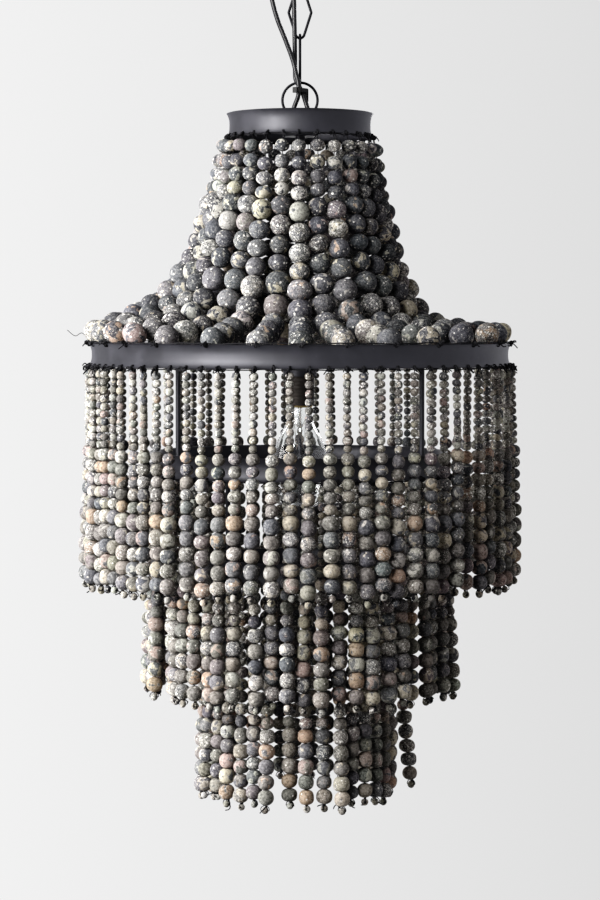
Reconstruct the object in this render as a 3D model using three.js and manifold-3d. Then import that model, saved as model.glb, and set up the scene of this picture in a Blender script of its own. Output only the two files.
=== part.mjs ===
// Beaded chandelier: four dark bands carry a swag of bead strands and three hanging fringes.
// Millimetres, +Z up, the origin on the ceiling above the centre, -Y towards the viewer.
import * as THREE from "three";
import { mergeVertices } from "three/addons/utils/BufferGeometryUtils.js";
import Module from "manifold-3d";

const kernel = await Module();
kernel.setup();

// Clearances
const fit_gap = 0.3;
const hang_gap = 0.9;
const chain_gap = 0.6;
const lap = 0.06;
const overrun = 1;
const merge_gap = 1e-3;

// Counts
const arm_count = 3;
const pin_sides = 10;
const wire_sides = 6;
const strand_sides = 5;
const bore_sides = 12;
const arm_azimuths = [1, 3, 5].map((n) => (n * Math.PI) / arm_count);

// Mounting strap and ceiling canopy
const strap = { length: 88, width: 20, thickness: 2.5, boss_r: 8, boss_h: 9 };
const stud = { r: 2, y: 32, past: 5 };
const canopy = { r: 60, floor_r: 45, rim_h: 8, depth: 34, wall: 1.2, segments: 24 };
const canopy_curve_shares = [
  [1, 0],
  [0.8, 0.7],
  [0, 1],
];
const nut = { r: 5, h: 8, tip_share: 0.5 };

// Cord gland in the canopy floor, with the terminals on top of it
const gland = { x: -21, y: -8, r: 10, flange_r: 12, flange_h: 2.5, block_h: 12, pitch: 10 };

// Loop, chain links and ring
const loop = { stem_r: 4, collar_r: 9, collar_h: 7, outer_h: 32.2, outer_w: 27, wire: 3.4 };
const link = { length: 54.6, width: 25.6, wire: 2.8, end_r: 4.5, side_r: 3.2 };
const ring = { outer_d: 38.6, wire: 2.8, steps: 20 };

// Top hub with its lug
const hub = { r: 18, h: 10, lug_w: 16, lug_t: 4, bore: 7.6, lug_rim: 7.8, sink: 9 };
const arm = { width: 8, h: 5, tab_w: 12, tab_t: 2.5 };
const stem = { r: 5, wall: 1.5 };

// Bands: upper lip radius, how far the lower lip and the waist lie inside it, height,
// and the drop of the upper lip below the top band's
const band_wall = 1.4;
const above_pivot = 4.25;
const top_band = { lip: 75, low_in: 1, waist_in: 3, h: 24, drop: 0, segments: 30 };
const large_band = { lip: 216, low_in: 0, waist_in: 3.4, h: 23, drop: 233.7, segments: 48 };
const middle_band = { lip: 151.5, low_in: 0, waist_in: 3.5, h: 23.5, drop: 344.5, segments: 36 };
const small_band = { lip: 95.5, low_in: 0, waist_in: 3, h: 23.5, drop: 452, segments: 30 };
const band_side_shares = [
  [0, 1],
  [0.3, 0],
  [0.7, 0],
  [1, 1],
];

// Large spider and its drop rods, middle carrier and its drop rods
const spider = { hub_r: 20, h: 10, arm_w: 11, arm_h: 6, tab_w: 14, tab_h: 18 };
const rod = { r: 2.5, nut_r: 4.5, nut_h: 5, upper_in: 5.5, lower_in: 6.6 };
const carrier = { rim: 7, h: 4, arm_w: 11, tab_h: 15, low: 17 };
const ear = { past: 6, width: 11, h: 4 };

// Lamp
const cover = { r: 17, h: 17, wall: 1.5 };
const socket = { r: 14.6, h: 45, bore_r: 13.5, bore_h: 26, stem_in: 8, segments: 18 };
const base = { r: 13.1, wall: 0.9, h: 27, nub_r: 4, nub_h: 1.2, out: 2, neck_in: 8 };
const glass = { neck_r: 11.8, r: 30, h: 111, wall: 1, segments: 14 };
const glass_curve_shares = [
  [0, 0],
  [0.01, 0.13],
  [0.18, 0.24],
  [0.62, 0.38],
  [0.93, 0.56],
  [1, 0.7],
  [0.9, 0.85],
  [0.45, 0.97],
];
const filament = { stem_r: 3, tip_r: 1.6, stem_h: 52, wire: 0.9, spread: 9, rise: 34, legs: 4 };

// Beads and the strands that they make
const small_bead = { d: 7.8, count: 10 };
const medium_bead = { d: 12.3, count: 5 };
const large_bead = { d: 15.35, count: 5 };
const stopper_d = 8;
const knot_drop = 2.5;
const thread_r = 0.5;
const lacing = { width: 2.2, h: 1.8, past: 2 };
const stagger = 2.2;
const outer_fringe = { band: large_band, sectors: 11, strands: 7 };
const middle_fringe = { band: middle_band, sectors: 8, strands: 7 };
const inner_fringe = { band: small_band, sectors: 6, strands: 6 };

// Swag from the top band out to the large band: even steps along a taut strand and a slack one
const swag = { nodes: 4, strands: 7, top_out: 3, top_drop: 4, end_in: 4, end_rise: 14 };
const swag_bead_radii = [7, 8.2, 9.7, 10.7, 11.8, 12.2, 9.8];
const swag_taut_shares = [
  [0, 0],
  [0.059, 0.221],
  [0.141, 0.439],
  [0.248, 0.651],
  [0.431, 0.831],
  [0.703, 0.935],
  [1, 1],
];
const swag_slack_shares = [
  [0, 0],
  [0.027, 0.247],
  [0.09, 0.492],
  [0.173, 0.733],
  [0.344, 0.943],
  [0.661, 0.988],
  [1, 1],
];

// Cords: centreline points from the gland down to the hub
const cord = { r: 2.35, sides: 8, steps: 20 };
const supply_route = [
  [-26, -8, -28],
  [-26, -8, -40],
  [-30, -8.6, -56],
  [-28.9, -9.2, -76.9],
  [-23.4, -9.8, -98.8],
  [-13.6, -10.2, -124],
  [-6.8, -10.4, -143],
  [-3.8, -11.3, -156],
  [-1.8, -12.4, -164],
  [-1.3, -12.2, -171],
  [-1.9, -11.3, -178],
  [-5.6, -9.2, -188],
  [-9.2, -8.2, -200],
  [-9.4, -8, -212],
];
const earth_route = [
  [-16, -8, -28],
  [-16, -8, -40],
  [-11.4, -6.8, -56],
  [-6.6, -5.4, -76.9],
  [-5.8, -4.9, -98],
  [-5.4, -4.7, -120],
  [-5.1, -4.8, -140],
  [-5, -5.5, -152],
  [-4.4, -7.1, -160.5],
  [-1.1, -7.5, -167],
  [2, -7.1, -173],
  [4.9, -6.9, -181],
  [9, -7.7, -196],
  [9.4, -8, -212],
];
const tie = { x: 0.75, y: -8.95, z: -172, length: 14.8, width: 8, turn: 1, t: 1.2, h: 4.6 };
const tie_head = { length: 4.2, width: 5, h: 5.6 };
const tie_tail = { length: 2, drop: 11, t: 1.2 };

const group = new THREE.Group();
const looks = {
  dark: new THREE.MeshStandardMaterial({ color: 0x2b2a2c, roughness: 0.5, metalness: 0.6 }),
  bead: new THREE.MeshStandardMaterial({ color: 0x77736e, roughness: 0.9 }),
  cord: new THREE.MeshStandardMaterial({ color: 0x151515, roughness: 0.6 }),
  brass: new THREE.MeshStandardMaterial({ color: 0xb08d4a, roughness: 0.4, metalness: 0.9 }),
  glass: new THREE.MeshStandardMaterial({ color: 0xdfe8ea, roughness: 0.1 }),
};

// Solids and meshes
function solid(shape) {
  const bare = new THREE.BufferGeometry();
  const source = shape.index ? shape.toNonIndexed() : shape;
  bare.setAttribute("position", source.getAttribute("position"));
  const merged = mergeVertices(bare, merge_gap);
  const index = merged.index.array;
  const corners = [];
  for (let i = 0; i < index.length; i += 3) {
    const [a, b, c] = index.slice(i, i + 3);
    if (a !== b && b !== c && a !== c) corners.push(a, b, c);
  }
  return new kernel.Manifold(
    new kernel.Mesh({
      numProp: 3,
      vertProperties: merged.getAttribute("position").array,
      triVerts: new Uint32Array(corners),
    }),
  );
}

function add(name, look, body) {
  const mesh = body.getMesh();
  const shape = new THREE.BufferGeometry();
  shape.setAttribute("position", new THREE.BufferAttribute(mesh.vertProperties, 3));
  shape.setIndex(new THREE.BufferAttribute(mesh.triVerts, 1));
  shape.computeVertexNormals();
  const made = new THREE.Mesh(shape, looks[look]);
  made.name = name;
  group.add(made);
}

const join = (...shapes) => kernel.Manifold.union(shapes.map(solid));
const cut = (body, ...tools) => tools.reduce((left, tool) => left.subtract(solid(tool)), body);
// The radius of a many-sided bore that clears a round of radius r
const boreFor = (r, sides = bore_sides) => (r + fit_gap) / Math.cos(Math.PI / sides);
const two = (n) => String(n).padStart(2, "0");

// A point at an azimuth from the front, counted towards the right
const at = (azimuth, r, z) =>
  new THREE.Vector3(r * Math.sin(azimuth), -r * Math.cos(azimuth), z);

// Shapes
function lathe(profile, segments) {
  const points = [...profile, profile[0]].map(([r, z]) => new THREE.Vector2(r, z));
  const shape = new THREE.LatheGeometry(points, segments, Math.PI / segments);
  return shape.rotateX(Math.PI / 2);
}

function post(x, y, z0, z1, r, sides = bore_sides) {
  const shape = new THREE.CylinderGeometry(r, r, z1 - z0, sides);
  return shape.rotateX(Math.PI / 2).translate(x, y, (z0 + z1) / 2);
}

function postAt(azimuth, place_r, z0, z1, r, sides) {
  const p = at(azimuth, place_r, 0);
  return post(p.x, p.y, z0, z1, r, sides);
}

function bar(azimuth, r0, r1, width, z0, z1) {
  const shape = new THREE.BoxGeometry(width, r1 - r0, z1 - z0);
  return shape.translate(0, -(r0 + r1) / 2, (z0 + z1) / 2).rotateZ(azimuth);
}

// Rings of points, joined in order and closed at both ends, or back to the first one
function loft(rings, closed = false) {
  const corners = [];
  const sides = rings[0].length;
  const spans = closed ? rings.length : rings.length - 1;
  const face = (...points) => points.forEach((p) => corners.push(p.x, p.y, p.z));
  for (let i = 0; i < spans; i++) {
    const a = rings[i];
    const b = rings[(i + 1) % rings.length];
    for (let k = 0; k < sides; k++) {
      const next = (k + 1) % sides;
      face(a[k], a[next], b[next]);
      face(a[k], b[next], b[k]);
    }
  }
  const first = rings[0];
  const last = rings[rings.length - 1];
  for (let k = 1; k < sides - 1 && !closed; k++) {
    face(first[0], first[k + 1], first[k]);
    face(last[0], last[k], last[k + 1]);
  }
  const shape = new THREE.BufferGeometry();
  return shape.setAttribute("position", new THREE.Float32BufferAttribute(corners, 3));
}

// Points round a centre, in the plane of two directions whose cross product leads on
function circle(centre, u, v, r, sides) {
  return Array.from({ length: sides }, (_, k) => {
    const turn = (2 * Math.PI * k) / sides;
    return centre
      .clone()
      .addScaledVector(u, r * Math.cos(turn))
      .addScaledVector(v, r * Math.sin(turn));
  });
}

// A wire bent round a closed outline in the XZ plane, its top at z
function wireLoop(outline, z, r, sides) {
  const across = new THREE.Vector3(0, 1, 0);
  const count = outline.length;
  const rings = outline.map(([x, y], i) => {
    const before = outline[(i + count - 1) % count];
    const after = outline[(i + 1) % count];
    const along = new THREE.Vector3(after[0] - before[0], 0, after[1] - before[1]).normalize();
    const inward = new THREE.Vector3().crossVectors(across, along);
    return circle(new THREE.Vector3(x, 0, z + y), inward, across, r, sides);
  });
  return loft(rings, true);
}

function oval(width, height, steps) {
  return Array.from({ length: steps }, (_, k) => {
    const turn = (2 * Math.PI * k) / steps;
    return [(width / 2) * Math.sin(turn), (height / 2) * (Math.cos(turn) - 1)];
  });
}

// A diamond with rounded corners, its top corner at the origin
function diamond(width, height, end_r, side_r) {
  const slope = Math.atan2(width / 2, height / 2);
  const points = [];
  const round = (x, y, r, from, to) => {
    for (const share of [0, 1 / 2, 1]) {
      const turn = from + (to - from) * share;
      points.push([x + r * Math.sin(turn), y + r * Math.cos(turn)]);
    }
  };
  const side = Math.PI / 2;
  round(0, -end_r, end_r, slope - side, side - slope);
  round(width / 2 - side_r, -height / 2, side_r, side - slope, side + slope);
  round(0, end_r - height, end_r, side + slope, 3 * side - slope);
  round(side_r - width / 2, -height / 2, side_r, 3 * side - slope, 3 * side + slope);
  return points;
}

// Levels down the chain, each at a wire's centre
const canopy_floor = -canopy.depth;
const loop_top = canopy_floor - fit_gap - loop.collar_h;
const loop_low = loop_top - loop.outer_h + loop.wire;
const upper_top = loop_low + (loop.wire + link.wire) / 2 + chain_gap;
const link_drop = link.length - link.wire;
const upper_low = upper_top - link_drop;
const lower_top = upper_low + link.wire + chain_gap;
const lower_low = lower_top - link_drop;
const ring_top = lower_low + (link.wire + ring.wire) / 2 + chain_gap;
const pivot = ring_top - ring.outer_d + ring.wire;

// Levels of the bands and of what they carry
const zero = pivot + above_pivot;
const topOf = (band) => zero - band.drop;
const lowOf = (band) => zero - band.drop - band.h;
const middleOf = (band) => zero - band.drop - band.h / 2;
const facet = (band) => Math.cos(Math.PI / band.segments);
const lowLip = (band) => band.lip - band.low_in;
const waistOf = (band) => band.lip - band.waist_in;
const innerOf = (band) => (waistOf(band) - band_wall) * facet(band);
const upper_rod_r = innerOf(middle_band) - rod.upper_in;
const lower_rod_r = innerOf(small_band) - rod.lower_in;
const hub_top = pivot - hub.sink;
const spider_top = middleOf(large_band) + spider.h / 2;
const spider_low = spider_top - spider.h;
const spoke_top = middleOf(large_band) + spider.arm_h / 2;
const carrier_top = topOf(middle_band) - carrier.low;
const ear_top = middleOf(small_band) + ear.h / 2;

// Mounting strap with its studs and the boss that takes the loop
const strap_low = -strap.thickness;
const boss_low = strap_low - strap.boss_h;
const stud_low = canopy_floor - stud.past;
const loop_stem_top = strap_low - fit_gap;
const strap_body = join(
  new THREE.BoxGeometry(strap.width, strap.length, strap.thickness).translate(0, 0, strap_low / 2),
  post(0, 0, boss_low, strap_low + lap, strap.boss_r),
  post(0, stud.y, stud_low, strap_low + lap, stud.r, pin_sides),
  post(0, -stud.y, stud_low, strap_low + lap, stud.r, pin_sides),
);
const stem_bore = boreFor(loop.stem_r);
const stud_bore = boreFor(stud.r, pin_sides);
add("mounting_strap", "dark", cut(strap_body, post(0, 0, boss_low - overrun, strap_low, stem_bore)));

// Canopy shell, with holes for the loop, the studs and the gland
const canopySide = (r, floor_r, floor_z) =>
  canopy_curve_shares.map(([out, down]) => [
    floor_r + (r - floor_r) * out,
    -canopy.rim_h + (floor_z + canopy.rim_h) * down,
  ]);
const canopy_profile = [
  [stem_bore, canopy_floor + canopy.wall],
  ...canopySide(canopy.r - canopy.wall, canopy.floor_r, canopy_floor + canopy.wall).reverse(),
  [canopy.r - canopy.wall, 0],
  [canopy.r, 0],
  ...canopySide(canopy.r, canopy.floor_r, canopy_floor),
  [stem_bore, canopy_floor],
];
const floor_cut = [canopy_floor - overrun, canopy_floor + canopy.wall + overrun];
const canopy_body = cut(
  join(lathe(canopy_profile.reverse(), canopy.segments)),
  post(0, stud.y, ...floor_cut, stud_bore, pin_sides),
  post(0, -stud.y, ...floor_cut, stud_bore, pin_sides),
  post(gland.x, gland.y, ...floor_cut, gland.r + fit_gap),
);
add("ceiling_canopy", "dark", canopy_body);

// Cap nuts on the studs
const nut_top = canopy_floor - fit_gap;
for (const [name, y] of [
  ["front", -stud.y],
  ["back", stud.y],
]) {
  const side = [
    [0, nut_top],
    [0, nut_top - nut.h],
    [nut.r * nut.tip_share, nut_top - nut.h],
    [nut.r, nut_top - nut.h / 2],
    [nut.r, nut_top],
  ];
  const shape = lathe(side, pin_sides);
  const bore = post(0, 0, stud_low - fit_gap, nut_top + overrun, stud_bore, pin_sides);
  add("canopy_nut_" + name, "dark", cut(join(shape), bore).translate([0, y, 0]));
}

// Cord gland: flange under the floor, body through it, terminal block above
const gland_top = canopy_floor + canopy.wall + gland.block_h;
const gland_bore_top = gland_top - canopy.wall;
const gland_body = join(
  post(gland.x, gland.y, nut_top - gland.flange_h, nut_top, gland.flange_r),
  post(gland.x, gland.y, nut_top - lap, gland_top, gland.r),
);
const gland_bores = [-1, 1].map((side) =>
  post(
    gland.x + (side * gland.pitch) / 2,
    gland.y,
    nut_top - gland.flange_h - overrun,
    gland_bore_top,
    boreFor(cord.r),
  ),
);
add("cord_gland", "cord", cut(gland_body, ...gland_bores));

// Loop under the canopy
const loop_wire = loop.wire / 2;
const loop_outline = oval(loop.outer_w - loop.wire, loop.outer_h - loop.wire, 14);
add(
  "canopy_loop",
  "dark",
  join(
    post(0, 0, canopy_floor - fit_gap - lap, loop_stem_top - fit_gap, loop.stem_r),
    post(0, 0, loop_top - loop_wire, canopy_floor - fit_gap, loop.collar_r),
    wireLoop(loop_outline, loop_top, loop_wire, wire_sides).rotateZ(Math.PI / 2),
  ),
);

// Two chain links, the second turned across the first, and the ring
const link_wire = link.wire / 2;
const link_outline = diamond(link.width - link.wire, link_drop, link.end_r, link.side_r);
const ring_wire = ring.wire / 2;
const ring_mid = ring.outer_d - ring.wire;
const turned = (shape) => shape.rotateZ(Math.PI / 2);
add("upper_chain_link", "dark", join(wireLoop(link_outline, upper_top, link_wire, wire_sides)));
add(
  "lower_chain_link",
  "dark",
  join(turned(wireLoop(link_outline, lower_top, link_wire, wire_sides))),
);
add(
  "hanging_ring",
  "dark",
  join(wireLoop(oval(ring_mid, ring_mid, ring.steps), ring_top, ring_wire, wire_sides)),
);

// Cords, and the tie round both of them
for (const [name, route] of [
  ["supply_cord", supply_route],
  ["earth_cord", earth_route],
]) {
  const path = new THREE.CatmullRomCurve3(route.map((p) => new THREE.Vector3(...p)));
  const section = new THREE.Shape(
    Array.from({ length: cord.sides }, (_, k) => {
      const turn = (2 * Math.PI * k) / cord.sides;
      return new THREE.Vector2(cord.r * Math.cos(turn), cord.r * Math.sin(turn));
    }),
  );
  const options = { steps: cord.steps, extrudePath: path, bevelEnabled: false };
  add(name, "cord", join(new THREE.ExtrudeGeometry(section, options)));
}

const boxAt = (x0, x1, y0, y1, z0, z1) =>
  new THREE.BoxGeometry(x1 - x0, y1 - y0, z1 - z0).translate(
    (x0 + x1) / 2,
    (y0 + y1) / 2,
    (z0 + z1) / 2,
  );
const slabAt = (half_l, half_w, half_h) => boxAt(-half_l, half_l, -half_w, half_w, -half_h, half_h);
const tie_body = cut(
  join(
    slabAt(tie.length / 2 + tie.t, tie.width / 2 + tie.t, tie.h / 2),
    boxAt(
      -tie.length / 2 - tie_head.length,
      -tie.length / 2 - lap,
      -tie_head.width / 2,
      tie_head.width / 2,
      -tie_head.h / 2,
      tie_head.h / 2,
    ),
    boxAt(
      tie.length / 2,
      tie.length / 2 + tie_tail.length,
      -tie.width / 2,
      tie.width / 2 - tie_tail.t,
      -tie_tail.drop,
      tie.h / 2 - lap,
    ),
  ),
  slabAt(tie.length / 2, tie.width / 2, tie.h / 2 + tie_tail.drop + overrun),
);
add(
  "cord_tie",
  "cord",
  tie_body.rotate([0, 0, THREE.MathUtils.radToDeg(tie.turn)]).translate([tie.x, tie.y, tie.z]),
);

// A band's closed profile, its faces drawn in to a waist
function band(size) {
  const side = (wall) =>
    band_side_shares.map(([down, flare]) => {
      const lip = down < 1 / 2 ? size.lip : lowLip(size);
      const r = waistOf(size) + (lip - waistOf(size)) * flare;
      return [r - wall, topOf(size) - size.h * down];
    });
  return lathe([...side(band_wall), ...side(0).reverse()], size.segments);
}

// Arms with a tab at the end, which meets a band's waist inside
const tabFace = (size) => innerOf(size) - fit_gap;
function armTo(azimuth, size, r0, width, z0, z1, tab_w, tab_z0, tab_z1) {
  const face = tabFace(size);
  return [
    bar(azimuth, r0, face - arm.tab_t / 2, width, z0, z1),
    bar(azimuth, face - arm.tab_t, face, tab_w, tab_z0, tab_z1),
  ];
}

// Top hub: lug for the ring, arms to the top band, bores for the stem and the cords
const hub_low = hub_top - hub.h;
const bore_top = pivot + ring_wire + chain_gap;
const bore_mid = bore_top - hub.bore / 2;
const stem_top = hub_top - hub.h / 2;
const acrossX = (z, r, length, sides) =>
  new THREE.CylinderGeometry(r, r, length, sides).rotateZ(Math.PI / 2).translate(0, 0, z);
const top_arm_z = [hub_low + (hub.h - arm.h) / 2, hub_low + (hub.h + arm.h) / 2];
const top_tab_z = [middleOf(top_band) - spider.tab_h / 2, middleOf(top_band) + spider.tab_h / 2];
const cord_ends = [supply_route, earth_route].map((route) => route[route.length - 1]);
const top_spider = cut(
  join(
    post(0, 0, hub_low, hub_top, hub.r, 2 * bore_sides),
    acrossX(bore_mid, hub.lug_rim, hub.lug_t, bore_sides),
    boxAt(
      -hub.lug_t / 2,
      hub.lug_t / 2,
      -hub.lug_rim,
      hub.lug_rim,
      hub_top - lap,
      bore_mid,
    ),
    ...arm_azimuths.flatMap((a) =>
      armTo(a, top_band, 0, arm.width, ...top_arm_z, arm.tab_w, ...top_tab_z),
    ),
  ),
  acrossX(bore_mid, hub.bore / 2, hub.lug_t + overrun, bore_sides),
  post(0, 0, hub_low - overrun, stem_top + fit_gap, boreFor(stem.r)),
  ...cord_ends.map(([x, y, z]) => post(x, y, z - fit_gap, hub_top + overrun, boreFor(cord.r))),
);
add("top_spider", "dark", top_spider);
add("top_band", "dark", join(band(top_band)));

// Stem down to the socket
const socket_top = spider_low - fit_gap - cover.wall - fit_gap;
const stem_low = socket_top - socket.stem_in;
const pipe = (r0, r1, z0, z1) => [
  [r0, z0],
  [r1, z0],
  [r1, z1],
  [r0, z1],
];
add(
  "stem_tube",
  "dark",
  join(lathe(pipe(stem.r - stem.wall, stem.r, stem_low, stem_top), bore_sides)),
);

// Large spider in the large band
const spider_tab_z = [
  middleOf(large_band) - spider.tab_h / 2,
  middleOf(large_band) + spider.tab_h / 2,
];
const rod_bore = boreFor(rod.r, pin_sides);
const spoke_z = [spoke_top - spider.arm_h, spoke_top];
const spoke_cut = [spider_low - overrun, spider_top + overrun];
add(
  "large_spider",
  "dark",
  cut(
    join(
      post(0, 0, spider_low, spider_top, spider.hub_r, 2 * bore_sides),
      ...arm_azimuths.flatMap((a) =>
        armTo(a, large_band, 0, spider.arm_w, ...spoke_z, spider.tab_w, ...spider_tab_z),
      ),
    ),
    post(0, 0, ...spoke_cut, boreFor(stem.r)),
    ...arm_azimuths.map((a) => postAt(a, upper_rod_r, ...spoke_cut, rod_bore, pin_sides)),
  ),
);
add("large_band", "dark", join(band(large_band)));

// Drop rods: a nut above what holds the rod, and one below what hangs on it
function dropRod(azimuth, place_r, seat_top, hung_low) {
  const head = seat_top + fit_gap;
  const foot = hung_low - fit_gap;
  const p = at(azimuth, place_r, 0);
  const profile = [
    [0, foot - rod.nut_h],
    [rod.nut_r, foot - rod.nut_h],
    [rod.nut_r, foot],
    [rod.r, foot],
    [rod.r, head],
    [rod.nut_r, head],
    [rod.nut_r, head + rod.nut_h],
    [0, head + rod.nut_h],
  ];
  return join(lathe(profile, pin_sides)).translate([p.x, p.y, 0]);
}
arm_azimuths.forEach((a, i) => {
  add("drop_rod_" + two(i + 1), "dark", dropRod(a, upper_rod_r, spoke_top, carrier_top - carrier.h));
});

// Middle carrier: an open ring with arms to the middle band
const carrier_z = [carrier_top - carrier.h, carrier_top];
const carrier_rim = [lower_rod_r - carrier.rim, lower_rod_r + carrier.rim];
const carrier_cut = [carrier_z[0] - overrun, carrier_z[1] + overrun];
add(
  "middle_carrier",
  "dark",
  cut(
    join(
      lathe(pipe(...carrier_rim, ...carrier_z), middle_band.segments),
      ...arm_azimuths.flatMap((a) =>
        armTo(
          a,
          middle_band,
          lower_rod_r,
          carrier.arm_w,
          ...carrier_z,
          spider.tab_w,
          carrier_z[0],
          carrier_z[0] + carrier.tab_h,
        ),
      ),
    ),
    ...arm_azimuths.flatMap((a) =>
      [upper_rod_r, lower_rod_r].map((r) =>
        postAt(a, r, ...carrier_cut, rod_bore, pin_sides),
      ),
    ),
  ),
);
add("middle_band", "dark", join(band(middle_band)));
arm_azimuths.forEach((a, i) => {
  add("lower_drop_rod_" + two(i + 1), "dark", dropRod(a, lower_rod_r, carrier_top, ear_top - ear.h));
});

// Small band with three ears inside
const ear_out = (waistOf(small_band) - band_wall / 2) * facet(small_band);
const ear_cut = [ear_top - ear.h - overrun, ear_top + overrun];
add(
  "small_band",
  "dark",
  cut(
    join(
      band(small_band),
      ...arm_azimuths.map((a) =>
        bar(a, lower_rod_r - ear.past, ear_out, ear.width, ear_top - ear.h, ear_top),
      ),
    ),
    ...arm_azimuths.map((a) => postAt(a, lower_rod_r, ...ear_cut, rod_bore, pin_sides)),
  ),
);

// Socket cover and socket
const cover_top = spider_low - fit_gap;
const cover_low = cover_top - cover.h;
const cover_profile = [
  [stem.r + fit_gap, cover_top - cover.wall],
  [cover.r - cover.wall, cover_top - cover.wall],
  [cover.r - cover.wall, cover_low],
  [cover.r, cover_low],
  [cover.r, cover_top],
  [stem.r + fit_gap, cover_top],
];
add("socket_cover", "dark", join(lathe(cover_profile, socket.segments)));
const socket_low = socket_top - socket.h;
const socket_bore_top = socket_low + socket.bore_h;
const socket_profile = [
  [0, socket_bore_top],
  [socket.bore_r, socket_bore_top],
  [socket.bore_r, socket_low],
  [socket.r, socket_low],
  [socket.r, socket_top],
  [stem.r + fit_gap, socket_top],
  [stem.r + fit_gap, stem_low - fit_gap],
  [0, stem_low - fit_gap],
];
add("lamp_socket", "dark", join(lathe(socket_profile, socket.segments)));

// Bulb: screw base, glass and filament
const base_top = socket_bore_top - fit_gap;
const base_low = socket_low - base.out;
const base_shoulder = base_top - base.nub_h;
const base_in = base.r - base.wall;
const base_profile = [
  [0, base_shoulder - base.wall],
  [base_in, base_shoulder - base.wall],
  [base_in, base_low],
  [base.r, base_low],
  [base.r, base_shoulder],
  [base.nub_r, base_shoulder],
  [base.nub_r, base_top],
  [0, base_top],
];
add("bulb_base", "brass", join(lathe(base_profile, socket.segments)));

const glass_top = base_low + base.neck_in;
const glassSide = (wall, low) =>
  glass_curve_shares.map(([out, down]) => [
    glass.neck_r + (glass.r - glass.neck_r) * out - wall,
    glass_top - (glass.h - low) * down,
  ]);
const glass_profile = [
  ...glassSide(glass.wall, glass.wall),
  [0, glass_top - glass.h + glass.wall],
  [0, glass_top - glass.h],
  ...glassSide(0, 0).reverse(),
];
add("bulb_glass", "glass", join(lathe(glass_profile, glass.segments)));

const filament_top = base_shoulder - base.wall - fit_gap;
const filament_low = filament_top - filament.stem_h;
const stem_side = [
  [0, filament_low],
  [filament.tip_r, filament_low],
  [filament.stem_r, filament_top],
  [0, filament_top],
];
const cage_z = [filament_low - filament.rise / 2, filament_low + filament.rise / 2];
const filament_r = filament.wire / 2;
const hoop = (z) =>
  lathe(
    pipe(filament.spread - filament_r, filament.spread + filament_r, z - filament_r, z + filament_r),
    2 * filament.legs,
  );
const cage = Array.from(
  { length: filament.legs },
  (_, k) => ((2 * k + 1 / 2) * Math.PI) / filament.legs,
);
const support_z = filament_low + filament.wire;
add(
  "bulb_filament",
  "brass",
  join(
    lathe(stem_side, pin_sides),
    hoop(cage_z[0]),
    hoop(cage_z[1]),
    ...cage.map((a) => postAt(a, filament.spread, ...cage_z, filament_r, 4)),
    ...cage.map((a) =>
      bar(a, 0, filament.spread, filament.wire, support_z, support_z + filament.wire),
    ),
  ),
);

const upright = new THREE.Vector3(0, 0, 1);

// One strand: rings of points from the thread at the lacing down to the stopper bead
const beads_end = (...sizes) => sizes.reduce((sum, b) => sum + b.d * b.count, knot_drop);
const large_end = beads_end(small_bead, medium_bead, large_bead);
const strand_rings = [
  [knot_drop + thread_r, small_bead.d / 2],
  [large_end, large_bead.d / 2],
  [large_end + stopper_d, stopper_d / 2],
];
const down = new THREE.Vector3(0, 0, -1);

function strand(azimuth, lacing_r, lacing_z, shift) {
  const radial = at(azimuth, 1, 0);
  const sideways = new THREE.Vector3().crossVectors(down, radial);
  const thread = at(azimuth, lacing_r, lacing_z - lacing.h);
  return loft([
    circle(thread, radial, sideways, thread_r, strand_sides),
    ...strand_rings.map(([drop, r]) => {
      const centre = at(azimuth, lacing_r + shift, lacing_z - drop);
      return circle(centre, radial, sideways, r, strand_sides);
    }),
  ]);
}

// The lacing cord that ties a row of strands, three-sided with its flat towards them
function lacingRow(azimuths, r, z_ridge, z_flat) {
  const pitch = azimuths[1] - azimuths[0];
  const past = lacing.past / r;
  const bends = azimuths.slice(1).map((a) => a - pitch / 2);
  const ends = [azimuths[0] - past, azimuths[azimuths.length - 1] + past];
  const half = (Math.sign(z_ridge - z_flat) * lacing.width) / 2;
  return loft(
    [ends[0], ...bends, ends[1]].map((a) => [
      at(a, r - half, z_flat),
      at(a, r, z_ridge),
      at(a, r + half, z_flat),
    ]),
  );
}

function fringe(name, { band: size, sectors, strands }) {
  const pitch = (2 * Math.PI) / (sectors * strands);
  const lacing_z = lowOf(size) - hang_gap;
  const lacing_r = lowLip(size) * Math.cos(pitch / 2);
  for (let s = 0; s < sectors; s++) {
    const numbers = Array.from({ length: strands }, (_, k) => s * strands + k);
    const azimuths = numbers.map((n) => (n + 1 / 2) * pitch);
    const row = lacingRow(azimuths, lowLip(size), lacing_z, lacing_z - lacing.h);
    const pieces = numbers.map((n, k) =>
      strand(azimuths[k], lacing_r, lacing_z, n % 2 ? stagger : -stagger),
    );
    add(name + two(s + 1), "bead", join(row, ...pieces));
  }
}
fringe("outer_fringe_", outer_fringe);
fringe("middle_fringe_", middle_fringe);
fringe("inner_fringe_", inner_fringe);

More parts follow.
